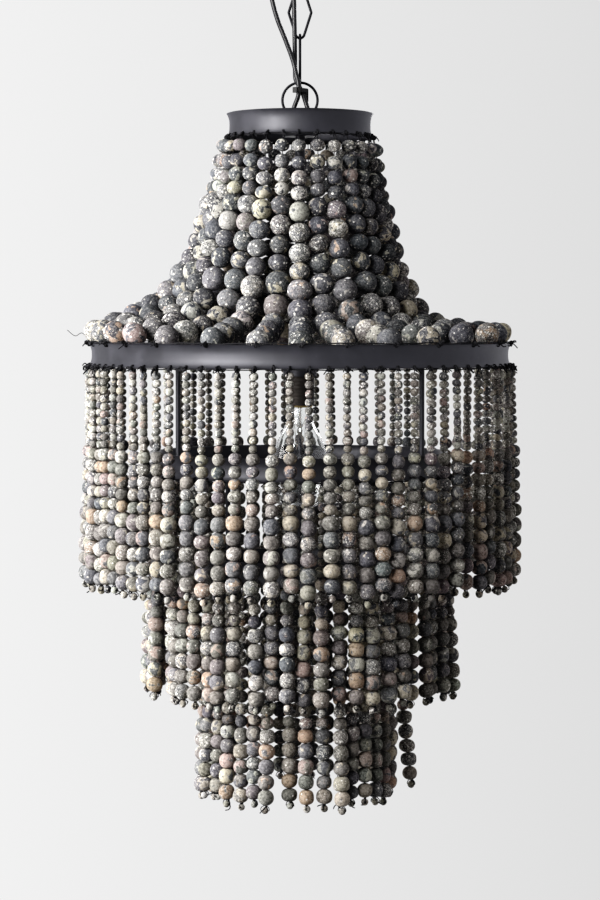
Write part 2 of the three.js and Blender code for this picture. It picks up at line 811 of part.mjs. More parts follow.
// Swag strands, laced at both ends, which hang slacker the nearer they are to the front
const swag_start = [lowLip(top_band) + swag.top_out, lowOf(top_band) - swag.top_drop];
const swag_end = [large_band.lip - swag.end_in, topOf(large_band) + swag.end_rise];
const swagCurve = (slack) =>
  new THREE.SplineCurve(
    swag_taut_shares.map((taut, i) => {
      const [out, fall] = taut.map((t, k) => t + (swag_slack_shares[i][k] - t) * slack);
      return new THREE.Vector2(
        swag_start[0] + (swag_end[0] - swag_start[0]) * out,
        swag_start[1] + (swag_end[1] - swag_start[1]) * fall,
      );
    }),
  );
const swag_pitch = (2 * Math.PI) / (swag.nodes * swag.strands);
const swag_lip_r = [lowLip(top_band), large_band.lip];
const swag_lacing_r = swag_lip_r.map((r) => r * Math.cos(swag_pitch / 2));
const swag_lacing_top = [
  lowOf(top_band) - fit_gap,
  topOf(large_band) + fit_gap + lacing.h,
];

function swagStrand(azimuth) {
  const radial = at(azimuth, 1, 0);
  const sideways = new THREE.Vector3().crossVectors(upright, radial);
  const ringAt = (r_place, z, along_r, along_z, r) => {
    const along = radial.clone().multiplyScalar(along_r).addScaledVector(upright, along_z);
    const u = new THREE.Vector3().crossVectors(sideways, along.normalize());
    return circle(at(azimuth, r_place, z), u, sideways, r, strand_sides);
  };
  const curve = swagCurve(Math.max(0, Math.cos(azimuth)));
  const rings = swag_bead_radii.map((r, i) => {
    const share = i / (swag_bead_radii.length - 1);
    const p = curve.getPoint(share);
    const along = curve.getTangent(share);
    return ringAt(p.x, p.y, along.x, along.y, r);
  });
  return loft([
    ringAt(swag_lacing_r[0], swag_lacing_top[0] - lacing.h, 0, -1, thread_r),
    ...rings,
    ringAt(swag_lacing_r[1], swag_lacing_top[1], 0, -1, thread_r),
  ]);
}

for (let q = 0; q < swag.nodes; q++) {
  const azimuths = Array.from(
    { length: swag.strands },
    (_, k) => (q * swag.strands + k - (swag.strands - 1) / 2) * swag_pitch,
  );
  add(
    "bead_swag_" + two(q + 1),
    "bead",
    join(
      lacingRow(azimuths, swag_lip_r[0], swag_lacing_top[0], swag_lacing_top[0] - lacing.h),
      lacingRow(azimuths, swag_lip_r[1], swag_lacing_top[1] - lacing.h, swag_lacing_top[1]),
      ...azimuths.map(swagStrand),
    ),
  );
}

export default group;
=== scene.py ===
"""Beaded chandelier: its clay beads, threads, bands, chain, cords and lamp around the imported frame."""

import math

import bpy
import numpy as np
from mathutils import Matrix, Vector


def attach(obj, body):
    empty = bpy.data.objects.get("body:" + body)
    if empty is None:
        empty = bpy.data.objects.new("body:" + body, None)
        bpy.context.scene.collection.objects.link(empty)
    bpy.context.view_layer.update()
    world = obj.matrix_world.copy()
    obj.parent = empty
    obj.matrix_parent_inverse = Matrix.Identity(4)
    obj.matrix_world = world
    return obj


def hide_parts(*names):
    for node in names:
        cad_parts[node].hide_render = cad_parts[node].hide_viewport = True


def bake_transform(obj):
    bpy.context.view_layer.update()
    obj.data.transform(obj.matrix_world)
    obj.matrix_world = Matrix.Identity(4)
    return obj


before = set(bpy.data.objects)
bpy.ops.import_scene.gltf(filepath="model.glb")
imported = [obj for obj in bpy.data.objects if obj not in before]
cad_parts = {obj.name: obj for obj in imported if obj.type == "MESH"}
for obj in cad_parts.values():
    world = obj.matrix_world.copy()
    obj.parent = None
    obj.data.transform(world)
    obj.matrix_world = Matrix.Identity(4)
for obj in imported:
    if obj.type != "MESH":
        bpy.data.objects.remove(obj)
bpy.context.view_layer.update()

MM = 0.001
TURN = 2 * math.pi
rng = np.random.default_rng(11)

# Each band, in millimetres: the radius of its upper lip, its lower lip and its waist, and its two levels
BANDS = {
    "top_band": {"lip": 75, "low_lip": 74, "waist": 72, "top": -194.75, "low": -218.75},
    "large_band": {"lip": 216, "low_lip": 216, "waist": 212.6, "top": -428.45, "low": -451.45},
    "middle_band": {"lip": 151.5, "low_lip": 151.5, "waist": 148, "top": -539.25, "low": -562.75},
    "small_band": {"lip": 95.5, "low_lip": 95.5, "waist": 92.5, "top": -646.75, "low": -670.25},
}
BAND_WALL = 1.4
# The lacing cord lies this far below a lower lip or above an upper one, and the first bead this far below it
HANG_GAP = 0.9
KNOT_DROP = 2.5
# Every second strand of a fringe hangs this much further out, its neighbours as much further in
STAGGER = 0.7
STOPPER_D = 8
STRAND_LENGTH = 220
# Two strands of a fringe come no nearer than this at their low ends, and each bows by about this much
STRAND_GAP = 15.8
STRAND_BOW = 0.6
# How far out the stray strand of the inner fringe hangs, and how much shorter it is
STRAY_OUT = 21
STRAY_RISE = 9
# Beads of a strand from its top: their size, how high, how wide, how many
STRAND_BEADS = [("small", 7.8, 8.3, 10), ("medium", 12.3, 13.3, 5), ("large", 15.35, 16.3, 5)]
SWAG_BEADS = [("swag", 14.3, 16.3, 4), ("swag", 19.5, 21.3, 4), ("swag", 23.1, 25, 6)]
SWAG_STRANDS = 28
# Even steps along a taut and a slack strand of the swag: radius and height
SWAG_TAUT = [
    (77, -223), (85.3, -265.8), (97, -308.2), (112.2, -349.5),
    (138.2, -384.7), (177, -405.5), (218.5, -419.5),
]
SWAG_SLACK = [
    (77, -227), (80.9, -272), (89.8, -318.5), (101.5, -365.4),
    (125.9, -407.5), (168.5, -417.5), (214.5, -420),
]
# How far a strand at the front or the back dips inside the large band's lip, at its last two steps
SWAG_DIP = [(-2, -7), (-10, -17)]
ARM_AZIMUTHS = [TURN / 6, TURN / 2, TURN * 5 / 6]
THREAD_R = 0.45
# The canopy's lowest face, what bears on it from below, and the studs at either side
CANOPY_LOW = -34
UNDER_CANOPY = -34.3
STUD_Y = 32
# The seats of the drop rods
SPIDER_TOP = -436.95
CARRIER_TOP = -556.25
CARRIER_LOW = -560.25


# Camera
def place_camera():
    """The photograph's view: from the front, a little above the fringes, and slightly down."""
    data = bpy.data.cameras.new("camera")
    data.lens = 104
    data.sensor_width = 36
    data.clip_end = 50
    camera = bpy.data.objects.new("camera", data)
    bpy.context.scene.collection.objects.link(camera)
    eye = Vector((0, -2.665, -0.41))
    aim = Vector((0, 0, -0.538))
    camera.location = eye
    camera.rotation_euler = (aim - eye).to_track_quat("-Z", "Y").to_euler()
    bpy.context.scene.camera = camera


place_camera()


# Points and faces: a part is a pair of arrays, in millimetres, and -1 fills a triangle's fourth corner
def at(azimuth, r, z=0.0):
    """A point at an azimuth from the front, counted towards the right."""
    return np.array([r * math.sin(azimuth), -r * math.cos(azimuth), z])


def unit(v):
    """The vector at length 1."""
    return v / np.linalg.norm(v)


def around(count):
    """Even steps of a full turn."""
    return TURN * np.arange(count) / count


def joined(parts):
    """All parts as one."""
    verts, faces, start = [], [], 0
    for points, corners in parts:
        verts.append(points)
        faces.append(np.where(corners < 0, -1, corners + start))
        start += len(points)
    return np.concatenate(verts), np.concatenate(faces)


def moved(part, matrix=None, by=(0, 0, 0)):
    """The part, turned or stretched by the matrix and then moved."""
    points, faces = part
    if matrix is not None:
        points = points @ np.array(matrix, float).T
    return points + np.array(by, float), faces


def turned(part, angle, axis="Z"):
    """The part, turned about an axis through the origin."""
    return moved(part, Matrix.Rotation(angle, 3, axis))


def welded(part):
    """The part with doubled points merged and the faces that collapse dropped."""
    points, faces = part
    _, first, index = np.unique(np.round(points, 4), axis=0, return_index=True, return_inverse=True)
    index = index.reshape(-1)
    kept = []
    for face in faces:
        corners = [index[c] for c in face if c >= 0]
        corners = [c for i, c in enumerate(corners) if c != corners[i - 1]]
        if len(corners) > 2:
            kept.append((corners + [-1])[:4])
    return points[first], np.array(kept)


def grid_faces(rows, sides, closed_rows):
    """Quads over rows of points, each with so many sides."""
    row = np.arange(rows if closed_rows else rows - 1)[:, None]
    side = np.arange(sides)[None, :]
    after, next_row = (side + 1) % sides, (row + 1) % rows
    quads = [row * sides + side, row * sides + after, next_row * sides + after, next_row * sides + side]
    return np.stack([np.broadcast_to(q, (row.size, side.size)) for q in quads], -1).reshape(-1, 4)


def tube(points, radius, sides=8, closed=False):
    """A round tube along points. radius is one number or one for each point."""
    path = np.asarray(points, float)
    count = len(path)
    radii = np.broadcast_to(np.asarray(radius, float), (count,))
    along = np.roll(path, -1, 0) - np.roll(path, 1, 0) if closed else np.gradient(path, axis=0)
    along /= np.linalg.norm(along, axis=1)[:, None]
    first = np.cross(along[0], (0, 0, 1) if abs(along[0][2]) < 0.9 else (1, 0, 0))
    across = [unit(first)]
    for t in along[1:]:
        across.append(unit(across[-1] - t * np.dot(across[-1], t)))
    across = np.array(across)
    lean = np.zeros(count)
    if closed:
        back = unit(across[-1] - along[0] * np.dot(across[-1], along[0]))
        gap = math.atan2(np.dot(np.cross(back, across[0]), along[0]), np.dot(back, across[0]))
        lean = gap * np.arange(count) / count
    beside = np.cross(along, across)
    turn = around(sides) + lean[:, None]
    ring = np.cos(turn)[..., None] * across[:, None] + np.sin(turn)[..., None] * beside[:, None]
    verts = (path[:, None] + radii[:, None, None] * ring).reshape(-1, 3)
    faces = grid_faces(count, sides, closed)
    if not closed:
        side = np.arange(sides)
        after = (side + 1) % sides
        last = (count - 1) * sides
        ends = len(verts) + np.array([0, 1])
        fill = np.full(sides, -1)
        low = np.stack([np.full(sides, ends[0]), after, side, fill], -1)
        high = np.stack([np.full(sides, ends[1]), last + side, last + after, fill], -1)
        verts = np.concatenate([verts, path[[0, -1]]])
        faces = np.concatenate([faces, low, high])
    return verts, faces


def lathe(profile, segments, x=0, y=0):
    """A closed outline of (radius, height) points turned round an upright axis, up on its outer side."""
    outline = np.asarray(profile, float)
    turn = around(segments)
    ring = np.stack([np.cos(turn), np.sin(turn)], -1)
    heights = np.broadcast_to(outline[:, None, 1:], (len(outline), segments, 1))
    points = np.concatenate([outline[:, None, :1] * ring[None], heights], -1).reshape(-1, 3)
    made = (points, grid_faces(len(outline), segments, True))
    if (outline[:, 0] < 1e-6).any():
        made = welded(made)
    return moved(made, by=(x, y, 0))


def block(x0, x1, y0, y1, z0, z1):
    """A box from one corner to the other."""
    points = np.array([[x, y, z] for z in (z0, z1) for y in (y0, y1) for x in (x0, x1)], float)
    faces = [[0, 2, 3, 1], [4, 5, 7, 6], [0, 1, 5, 4], [1, 3, 7, 5], [3, 2, 6, 7], [2, 0, 4, 6]]
    return points, np.array(faces)


def rod(x, y, z0, z1, r, segments):
    """An upright round rod."""
    return lathe([(0, z0), (r, z0), (r, z1), (0, z1)], segments, x, y)


def smooth_line(points, steps, closed=False):
    """The centripetal Catmull-Rom curve through points, with so many steps between two of them."""
    p = np.asarray(points, float)
    if closed:
        p = np.concatenate([p[-1:], p, p[:2]])
    else:
        p = np.concatenate([[2 * p[0] - p[1]], p, [2 * p[-1] - p[-2]]])
    out = []
    for i in range(1, len(p) - 2):
        a, b, c, d = p[i - 1 : i + 3]
        ab, bc, cd = (max(np.linalg.norm(v) ** 0.5, 1e-4) for v in (b - a, c - b, d - c))
        leave = ((b - a) / ab - (c - a) / (ab + bc) + (c - b) / bc) * bc
        reach = ((c - b) / bc - (d - b) / (bc + cd) + (d - c) / cd) * bc
        t = np.linspace(0, 1, steps, endpoint=False)[:, None]
        ends = (2 * t**3 - 3 * t**2 + 1) * b + (t**3 - 2 * t**2 + t) * leave
        out.append(ends + (3 * t**2 - 2 * t**3) * c + (t**3 - t**2) * reach)
    if not closed:
        out.append(p[-2:-1])
    return np.concatenate(out)


# Pieces
BEVEL_FROM = 40


def piece(name, parts, look, body, node=None, slot=None, smooth=35, bevel=0, values=None):
    """A mesh piece of the parts, which rides on the body and stands for the node. smooth is the widest angle
    that is shaded smooth, 0 for all, bevel rounds the edges, and values are numbers or vectors of points."""
    points, faces = joined(parts)
    mesh = bpy.data.meshes.new(name)
    corners = faces[faces >= 0]
    sizes = (faces >= 0).sum(1)
    starts = np.concatenate([[0], np.cumsum(sizes)[:-1]])
    mesh.vertices.add(len(points))
    mesh.vertices.foreach_set("co", (points * MM).astype(np.float32).ravel())
    mesh.loops.add(len(corners))
    mesh.loops.foreach_set("vertex_index", corners.astype(np.int32))
    mesh.polygons.add(len(faces))
    mesh.polygons.foreach_set("loop_start", starts.astype(np.int32))
    mesh.update(calc_edges=True)
    for key, array in (values or {}).items():
        kind = "FLOAT_VECTOR" if array.ndim == 2 else "FLOAT"
        field = "vector" if array.ndim == 2 else "value"
        mesh.attributes.new(key, kind, "POINT").data.foreach_set(field, array.astype(np.float32).ravel())
    mesh.shade_smooth()
    if smooth:
        mesh.set_sharp_from_angle(angle=math.radians(smooth))
    mesh.materials.append(look)
    made = bpy.data.objects.new(name, mesh)
    bpy.context.scene.collection.objects.link(made)
    if bevel:
        edge = made.modifiers.new("edges", "BEVEL")
        edge.width = bevel * MM
        edge.segments = 2
        edge.limit_method = "ANGLE"
        edge.angle_limit = math.radians(BEVEL_FROM)
    if body:
        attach(made, body)
    if node:
        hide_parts(node)
    return made


def iron_piece(name, parts, node, body="frame", look=None, **ways):
    """A piece of painted iron, or of another dark metal."""
    piece(name, parts, look or IRON, body, node, "dark_metal", **ways)


def thread_piece(name, parts, body="frame"):
    """A piece of waxed thread."""
    piece(name, parts, THREAD, body, None, "black_cord", smooth=0)


# Materials
class Wire:
    """A number, colour or vector among nodes; sums and products of numbers add Math nodes."""

    def __init__(self, nodes, socket):
        self.nodes = nodes
        self.socket = socket

    def maths(self, operation, *values):
        return self.nodes.node("Math", values, operation=operation)

    def __add__(self, other):
        return self.maths("ADD", self, other)

    def __sub__(self, other):
        return self.maths("SUBTRACT", self, other)

    def __rsub__(self, other):
        return self.maths("SUBTRACT", other, self)

    def __mul__(self, other):
        return self.maths("MULTIPLY", self, other)

    __radd__ = __add__
    __rmul__ = __mul__

    def over(self, low, high):
        """From 0 at low to 1 at high, smoothly."""
        values = {"Value": self, "From Min": low, "From Max": high}
        return self.nodes.node("MapRange", values, interpolation_type="SMOOTHSTEP")


class Nodes:
    """The nodes of a material or of the world."""

    def __init__(self, owner):
        owner.use_nodes = True
        self.tree = owner.node_tree

    def fill(self, socket, value):
        if isinstance(value, Wire):
            self.tree.links.new(value.socket, socket)
        else:
            socket.default_value = value

    def node(self, kind, values=(), out=0, **settings):
        """The output of a new node, with its settings, and the values or links of its sockets."""
        made = self.tree.nodes.new("ShaderNode" + kind)
        for key, value in settings.items():
            setattr(made, key, value)
        for key, value in values.items() if isinstance(values, dict) else enumerate(values):
            self.fill(made.inputs[key], value)
        return Wire(self, made.outputs[out])

    def larger(self, a, b):
        return self.node("Math", [a, b], operation="MAXIMUM")

    def mix(self, a, b, factor):
        a, b = ((*c, 1) if isinstance(c, tuple) else c for c in (a, b))
        return self.node("Mix", {0: factor, 6: a, 7: b}, out=2, data_type="RGBA")


class Look(Nodes):
    """A material with one Principled shader."""

    def __init__(self, name):
        self.material = bpy.data.materials.new(name)
        super().__init__(self.material)
        self.shader = self.tree.nodes["Principled BSDF"]

    def attribute(self, name, out="Fac"):
        return self.node("Attribute", out=out, attribute_name=name)

    def place(self):
        return self.node("TexCoord", out="Object")

    def noise(self, where, scale, detail=3.0, roughness=0.5, distortion=0.0):
        values = {"Vector": where, "Scale": scale, "Detail": detail}
        return self.node("TexNoise", {**values, "Roughness": roughness, "Distortion": distortion})

    def cells(self, where, scale, out="Distance"):
        return self.node("TexVoronoi", {"Vector": where, "Scale": scale}, out=out)

    def bump(self, height, distance, strength=1.0):
        """A bump of so many millimetres."""
        return self.node("Bump", {"Height": height, "Distance": distance * MM, "Strength": strength})

    def set(self, **sockets):
        for key, value in sockets.items():
            name = {"ior": "IOR", "specular": "Specular IOR Level"}.get(key, key.replace("_", " ").title())
            self.fill(self.shader.inputs[name], (*value, 1) if isinstance(value, tuple) else value)
        return self.material


def clay_look():
    """Tumbled clay: each bead's own colours, with pale crust, specks and pits, and painted shade in the
    holes.
    """
    look = Look("tumbled_clay")
    grain = look.attribute("grain", "Vector")
    crust = look.attribute("crust")
    marks = look.attribute("marks")
    snow = look.attribute("snow")
    rim = look.attribute("rim")
    patches = look.noise(grain, 0.13, 2, 0.5, 0.6)
    mask = (patches + marks * 0.21).over(0.645, 0.67)
    clay = look.attribute("clay", "Vector")
    patch = look.attribute("patch", "Vector")
    bloom = look.noise(grain, 0.36, 5, 0.7, 1.2)
    bloom_mask = (bloom + crust * 0.16).over(0.56, 0.74) * 0.6
    colour = look.mix(clay, look.mix((0.27, 0.262, 0.25), patch, 0.45), bloom_mask)
    colour = look.mix(colour, patch, mask)
    colour = look.mix(colour, (0.46, 0.44, 0.4), mask * (1 - mask) * 1.8)
    mottle = look.noise(grain, 0.42, 4, 0.62, 0.4)
    colour = look.mix(colour, (0.008, 0.008, 0.009), mottle.over(0.56, 0.34) * 0.6)
    colour = look.mix(colour, (0.22, 0.215, 0.21), mottle.over(0.51, 0.7) * 0.5)
    flecks = look.noise(grain, 0.72, 4, 0.68, 0.5)
    fleck_mask = (flecks + crust * 0.13).over(0.66, 0.7) * 0.8
    spot, pick = look.cells(grain, 0.42), look.cells(grain, 0.42, "Color")
    spot_mask = (pick * 0.9 + crust * 0.16 + snow - spot * 0.38).over(0.6, 0.68)
    chalk = look.mix((0.3, 0.29, 0.27), (0.75, 0.73, 0.69), look.noise(grain, 0.7).over(0.3, 0.7))
    pale = look.larger(fleck_mask, spot_mask)
    colour = look.mix(colour, chalk, pale)
    pits = look.noise(grain, 1.3, 2, 0.5).over(0.36, 0.31)
    # pits, and painted shade in each bead's bore and at the edge of its hole
    colour = look.mix(colour, (0.006, 0.006, 0.007), look.larger(pits * 0.6, rim * 0.9))
    grit = look.noise(grain, 3.2, 3, 0.6)
    height = grit * 0.3 + mottle * 0.8 + pale * 0.4 - pits * 0.9
    rough = 0.58 + mottle * 0.3 + pale * 0.14
    return look.set(base_color=colour, roughness=rough, specular=0.08, normal=look.bump(height, 0.4))


def iron_look(name, dark, light, gloss):
    """Black satin paint with soft blotches, scuffs and rubbed spots."""
    look = Look(name)
    where = look.place()
    blotch = look.noise(where, 26, 4, 0.6)
    smear = look.noise(where, 130, 3, 0.65)
    colour = look.mix(dark, light, blotch.over(0.35, 0.7))
    scuff = look.noise(where, 420, 4, 0.7).over(0.66, 0.72) * blotch.over(0.45, 0.6)
    colour = look.mix(colour, (0.16, 0.15, 0.15), scuff * 0.5)
    rough = 0.37 + smear * 0.1 + blotch * 0.1 + scuff * 0.2
    dents = look.noise(where, 34, 2) * 0.8 + look.noise(where, 900, 2) * 0.05
    paint = {"base_color": colour, "roughness": rough, "normal": look.bump(dents, 0.5, 0.5)}
    return look.set(**paint, specular=gloss, specular_tint=(0.93, 0.93, 1.0))


def thread_look():
    """Waxed black thread, twisted."""
    look = Look("waxed_thread")
    where = look.place()
    fibre = look.noise(where, 1800, 3, 0.6)
    colour = look.mix((0.004, 0.004, 0.005), (0.02, 0.02, 0.021), fibre.over(0.4, 0.75))
    rough = 0.6 + fibre * 0.25
    return look.set(base_color=colour, roughness=rough, specular=0.2, normal=look.bump(fibre, 0.2))


def cord_look():
    """Black flex with a faint extrusion grain and dust."""
    look = Look("black_flex")
    where = look.place()
    dust = look.noise(where, 90, 5, 0.65)
    colour = look.mix((0.003, 0.003, 0.0035), (0.014, 0.0135, 0.0135), dust.over(0.5, 0.78))
    rough = 0.26 + dust * 0.2
    grain = look.bump(look.noise(where, 1400, 2), 0.06)
    return look.set(base_color=colour, roughness=rough, specular=0.35, normal=grain)


def plastic_look(name, dark, light):
    """Moulded plastic with a fine grain."""
    look = Look(name)
    where = look.place()
    grain = look.bump(look.noise(where, 1500, 2), 0.05)
    tone = look.noise(where, 60, 3)
    rough = 0.5 + tone * 0.15
    return look.set(base_color=look.mix(dark, light, tone), roughness=rough, specular=0.25, normal=grain)


def metal_look(name, low, high, scale, rough):
    """Bare metal with a wandering tone and fine scratches."""
    look = Look(name)
    where = look.place()
    tone = look.noise(where, scale, 4, 0.6)
    marks = look.noise(where, scale * 14, 4, 0.7)
    colour = look.mix(low, high, tone.over(0.3, 0.7))
    scratched = {"roughness": rough + marks * 0.2, "normal": look.bump(marks, 0.05)}
    return look.set(base_color=colour, metallic=1.0, **scratched)


def glass_look():
    look = Look("clear_glass")
    return look.set(base_color=(0.98, 0.99, 0.99), roughness=0.0, transmission_weight=1.0, ior=1.46)


def floor_look():
    """A matt floor that glows a little, so that it is as pale as the wall from every side."""
    look = Look("pale_floor")
    colour = look.mix((0.3, 0.3, 0.3), (0.32, 0.32, 0.32), look.noise(look.place(), 2.5, 3))
    glow = {"emission_color": (0.4, 0.4, 0.4), "emission_strength": 1.0}
    return look.set(base_color=colour, roughness=0.85, specular=0.1, **glow)


CLAY = clay_look()
IRON = iron_look("painted_iron", (0.0055, 0.0055, 0.0065), (0.013, 0.013, 0.0155), 0.6)
CHAIN_IRON = iron_look("black_chain", (0.002, 0.002, 0.0025), (0.006, 0.006, 0.007), 0.16)
THREAD = thread_look()
FLEX = cord_look()
BLACK_PLASTIC = plastic_look("black_plastic", (0.004, 0.004, 0.004), (0.012, 0.012, 0.012))
PHENOLIC = plastic_look("socket_shell", (0.012, 0.01, 0.009), (0.035, 0.03, 0.027))
ZINC = metal_look("zinc_plate", (0.42, 0.43, 0.45), (0.62, 0.63, 0.64), 55, 0.28)
BRASS = metal_look("brass", (0.55, 0.4, 0.18), (0.72, 0.56, 0.28), 80, 0.22)
TUNGSTEN = metal_look("dull_wire", (0.22, 0.19, 0.16), (0.4, 0.36, 0.32), 200, 0.35)
GLASS = glass_look()


# Beads
# The bore's radius and half height, as shares of those at the mouth of the hole
BORE_SHARES = (0.72, 0.9)
# Painted shade on the edge of the hole, where the bore itself has 1
HOLE_EDGE_SHADE_SHARE = 0.75


def bead_shape(sides, rows, squareness, hole):
    """A drilled bead of radius 1 and height 2: its points, its faces and how much painted shade its hole
    puts on each.
    """
    power = 2 / squareness
    low = math.asin(hole ** (squareness / 2))
    slope = np.linspace(math.pi - low, low, rows)
    rise = np.cos(slope)
    outside = np.stack([np.sin(slope) ** power, np.sign(rise) * np.abs(rise) ** power], -1)
    bore_r, bore_z = outside[-1] * BORE_SHARES
    points, faces = lathe([*outside, (bore_r, bore_z), (bore_r, -bore_z)], sides)
    # painted shade: near black in the bore, a little less at the edge of the hole
    rim = np.zeros(rows + 2)
    rim[[0, rows - 1]] = HOLE_EDGE_SHADE_SHARE
    rim[[-2, -1]] = 1
    return points, faces, np.repeat(rim, sides)


# Each size of bead: sides, rows, how square its three outlines are, and its hole
BEAD_SIZES = {
    "stopper": (12, 8, (2.0, 2.1, 2.2), 0.28),
    "small": (12, 8, (2.1, 2.3, 2.6), 0.17),
    "medium": (14, 10, (2.05, 2.2, 2.4), 0.15),
    "large": (18, 12, (2.15, 2.4, 2.7), 0.14),
    "swag": (22, 14, (2.0, 2.12, 2.3), 0.12),
}
# How many beads have each of the three outlines
OUTLINE_SHARES = (0.4, 0.4, 0.2)
# How much finer the marks of a small bead are
GRAIN_SHARES = {"stopper": 1.7, "small": 1.6, "medium": 1.15, "large": 0.95, "swag": 1}
# How far each size leans to white specks
SNOW_SHARES = {"stopper": 0, "small": 0.03, "medium": -0.05, "large": -0.1, "swag": -0.02}
BEAD_SHAPES = {
    key: [bead_shape(sides, rows, squareness, hole) for squareness in outlines]
    for key, (sides, rows, outlines, hole) in BEAD_SIZES.items()
}
# Waves that make a bead uneven: how high each is, and how tightly it runs
WAVE_HEIGHTS = (0.006, 0.022)
WAVE_TURNS = (1.8, 4)
# Chips: how many beads have one, how far out it lies, and how much of what stands over it is gone
CHIPPED_SHARE = 0.4
CHIP_PLACES = (0.86, 0.95)
CHIP_SHARE = 0.9
HOLE_LEAN = 0.045

# Clays
CLAYS = {
    "slate": (0.066, 0.068, 0.075),
    "coal": (0.042, 0.043, 0.048),
    "lead": (0.096, 0.096, 0.1),
    "ash": (0.116, 0.111, 0.102),
    "stone": (0.155, 0.144, 0.124),
    "mauve": (0.118, 0.104, 0.105),
    "moss": (0.108, 0.107, 0.095),
    "chalk": (0.3, 0.29, 0.262),
    "cream": (0.3, 0.27, 0.215),
    "tan": (0.27, 0.2, 0.15),
    "rose": (0.245, 0.195, 0.175),
    "straw": (0.268, 0.251, 0.21),
}
# How many beads of a hundred have each clay, and how many of a hundred each colour of patch
CLAY_SHARES = {
    "swag": {"slate": 60, "coal": 20, "lead": 10, "mauve": 4, "moss": 2, "cream": 2, "rose": 1, "chalk": 1},
    "fringe": {
        "lead": 26, "ash": 29, "stone": 12, "slate": 8, "mauve": 8,
        "moss": 4, "cream": 4, "rose": 3, "tan": 4, "straw": 2,
    },
    "small": {
        "ash": 27, "stone": 20, "lead": 17, "chalk": 12, "slate": 12,
        "moss": 3, "cream": 4, "straw": 3, "rose": 2,
    },
    "stopper": {"stone": 30, "chalk": 30, "ash": 20, "cream": 10, "slate": 10},
}
PATCH_SHARES = {"chalk": 34, "cream": 22, "straw": 8, "rose": 12, "tan": 6, "ash": 18}
# A clay is pale when its red is over this; its patches are dark, and its tone rises less
PALE_FROM = 0.2
DARKEST, PALE_LIGHTEST, LIGHTEST = 0.8, 1.1, 1.22
TINT_SPREAD = 0.022
# Each bead takes its marks from another place, up to this far off
GRAIN_SPREAD = 400


def drawn(shares):
    """A clay, drawn by its share."""
    weights = np.array(list(shares.values()), float)
    return list(shares)[rng.choice(len(weights), p=weights / weights.sum())]


def worn_bead(size):
    """A bead of radius 1 and height 2, with waves of its own and perhaps a chip."""
    points, faces, rim = BEAD_SHAPES[size][rng.choice(3, p=OUTLINE_SHARES)]
    outer = (rim < 1)[:, None]
    waves = np.zeros(len(points))
    for _ in range(3):
        way = unit(rng.normal(size=3))
        height, turns = rng.uniform(*WAVE_HEIGHTS), rng.uniform(*WAVE_TURNS)
        waves += height * np.sin(turns * (points @ way) + rng.uniform(0, TURN))
    shape = points * (1 + waves[:, None] * outer)
    if rng.random() < CHIPPED_SHARE:
        chip = unit(rng.normal(size=3) * (1, 1, 0.4))
        over = np.maximum(shape @ chip - rng.uniform(*CHIP_PLACES), 0)[:, None]
        shape = shape - chip * over * CHIP_SHARE * outer
    return shape, faces, rim


def beads(places, mix):
    """Mesh arrays of beads. A place is (size, middle, direction of its hole, radius, half height)."""
    parts, values = [], {key: [] for key in ("grain", "clay", "patch", "crust", "marks", "snow", "rim")}
    for size, middle, along, radius, half in places:
        shape, faces, rim = worn_bead(size)
        shape = shape * (radius, radius, half)
        hole = unit(np.asarray(along, float) + rng.normal(size=3) * HOLE_LEAN)
        side = unit(np.cross(hole, unit(rng.normal(size=3))))
        parts.append((shape @ np.array([side, np.cross(hole, side), hole]) + middle, faces))
        clay = CLAYS[drawn(CLAY_SHARES.get(size if mix == "fringe" else mix, CLAY_SHARES["fringe"]))]
        pale = clay[0] > PALE_FROM
        patch = CLAYS["lead" if pale else drawn(PATCH_SHARES)]
        tone = rng.uniform(DARKEST, PALE_LIGHTEST if pale else LIGHTEST)
        tone = tone * (1 + rng.normal(size=3) * TINT_SPREAD)
        count = len(shape)
        values["grain"].append(shape * GRAIN_SHARES[size] + rng.uniform(-GRAIN_SPREAD, GRAIN_SPREAD, 3))
        values["clay"].append(np.broadcast_to(np.array(clay) * tone, (count, 3)))
        values["patch"].append(np.broadcast_to(np.array(patch) * tone, (count, 3)))
        values["crust"].append(np.full(count, rng.random() ** 2.2))
        values["marks"].append(np.full(count, rng.random() ** 3))
        values["snow"].append(np.full(count, SNOW_SHARES[size]))
        values["rim"].append(rim)
    return parts, {key: np.concatenate(arrays) for key, arrays in values.items()}


# Threads
THREAD_SIDES = 5
TAIL_R = (0.7, 0.55)
# The loop of a tie through a lip: how far its middle is from the edge, how far it reaches out and up, its
# thread, and how far its two turns lie to either side
LOOP_IN, LOOP_OUT, LOOP_UP, LOOP_R, LOOP_SHIFT = 0.9, 1.35, 1.9, 0.6, 0.55
LACING_R = 0.7
# The thread loop of a stopper bead, as shares of the bead's radius across and up
STOPPER_LOOP_SHARES = [(-1.05, 0), (0, 0), (1.05, 0), (0.95, 0.75), (0, 1.25), (-0.95, 0.75)]


def knot(middle, size):
    """A lumpy knot of crossed turns of thread."""
    parts = []
    turn = around(7)[:, None]
    for _ in range(3):
        u = unit(rng.normal(size=3))
        v = unit(np.cross(u, rng.normal(size=3)))
        off = middle + rng.normal(size=3) * size * 0.3
        ring = off + size * (np.cos(turn) * u + np.sin(turn) * v)
        parts.append(tube(ring, size * 0.5, THREAD_SIDES, closed=True))
    return parts


def tail(start, way, length, curl):
    """A loose end of thread."""
    side = unit(np.cross(way, rng.normal(size=3)))
    steps = np.linspace(0, 1, 6)[:, None]
    drop = np.array([0, 0, -0.35 * length])
    path = start + way * length * steps + side * curl * length * np.sin(steps * 2.6) + drop * steps**2
    return tube(path, np.linspace(*TAIL_R, 6), THREAD_SIDES)


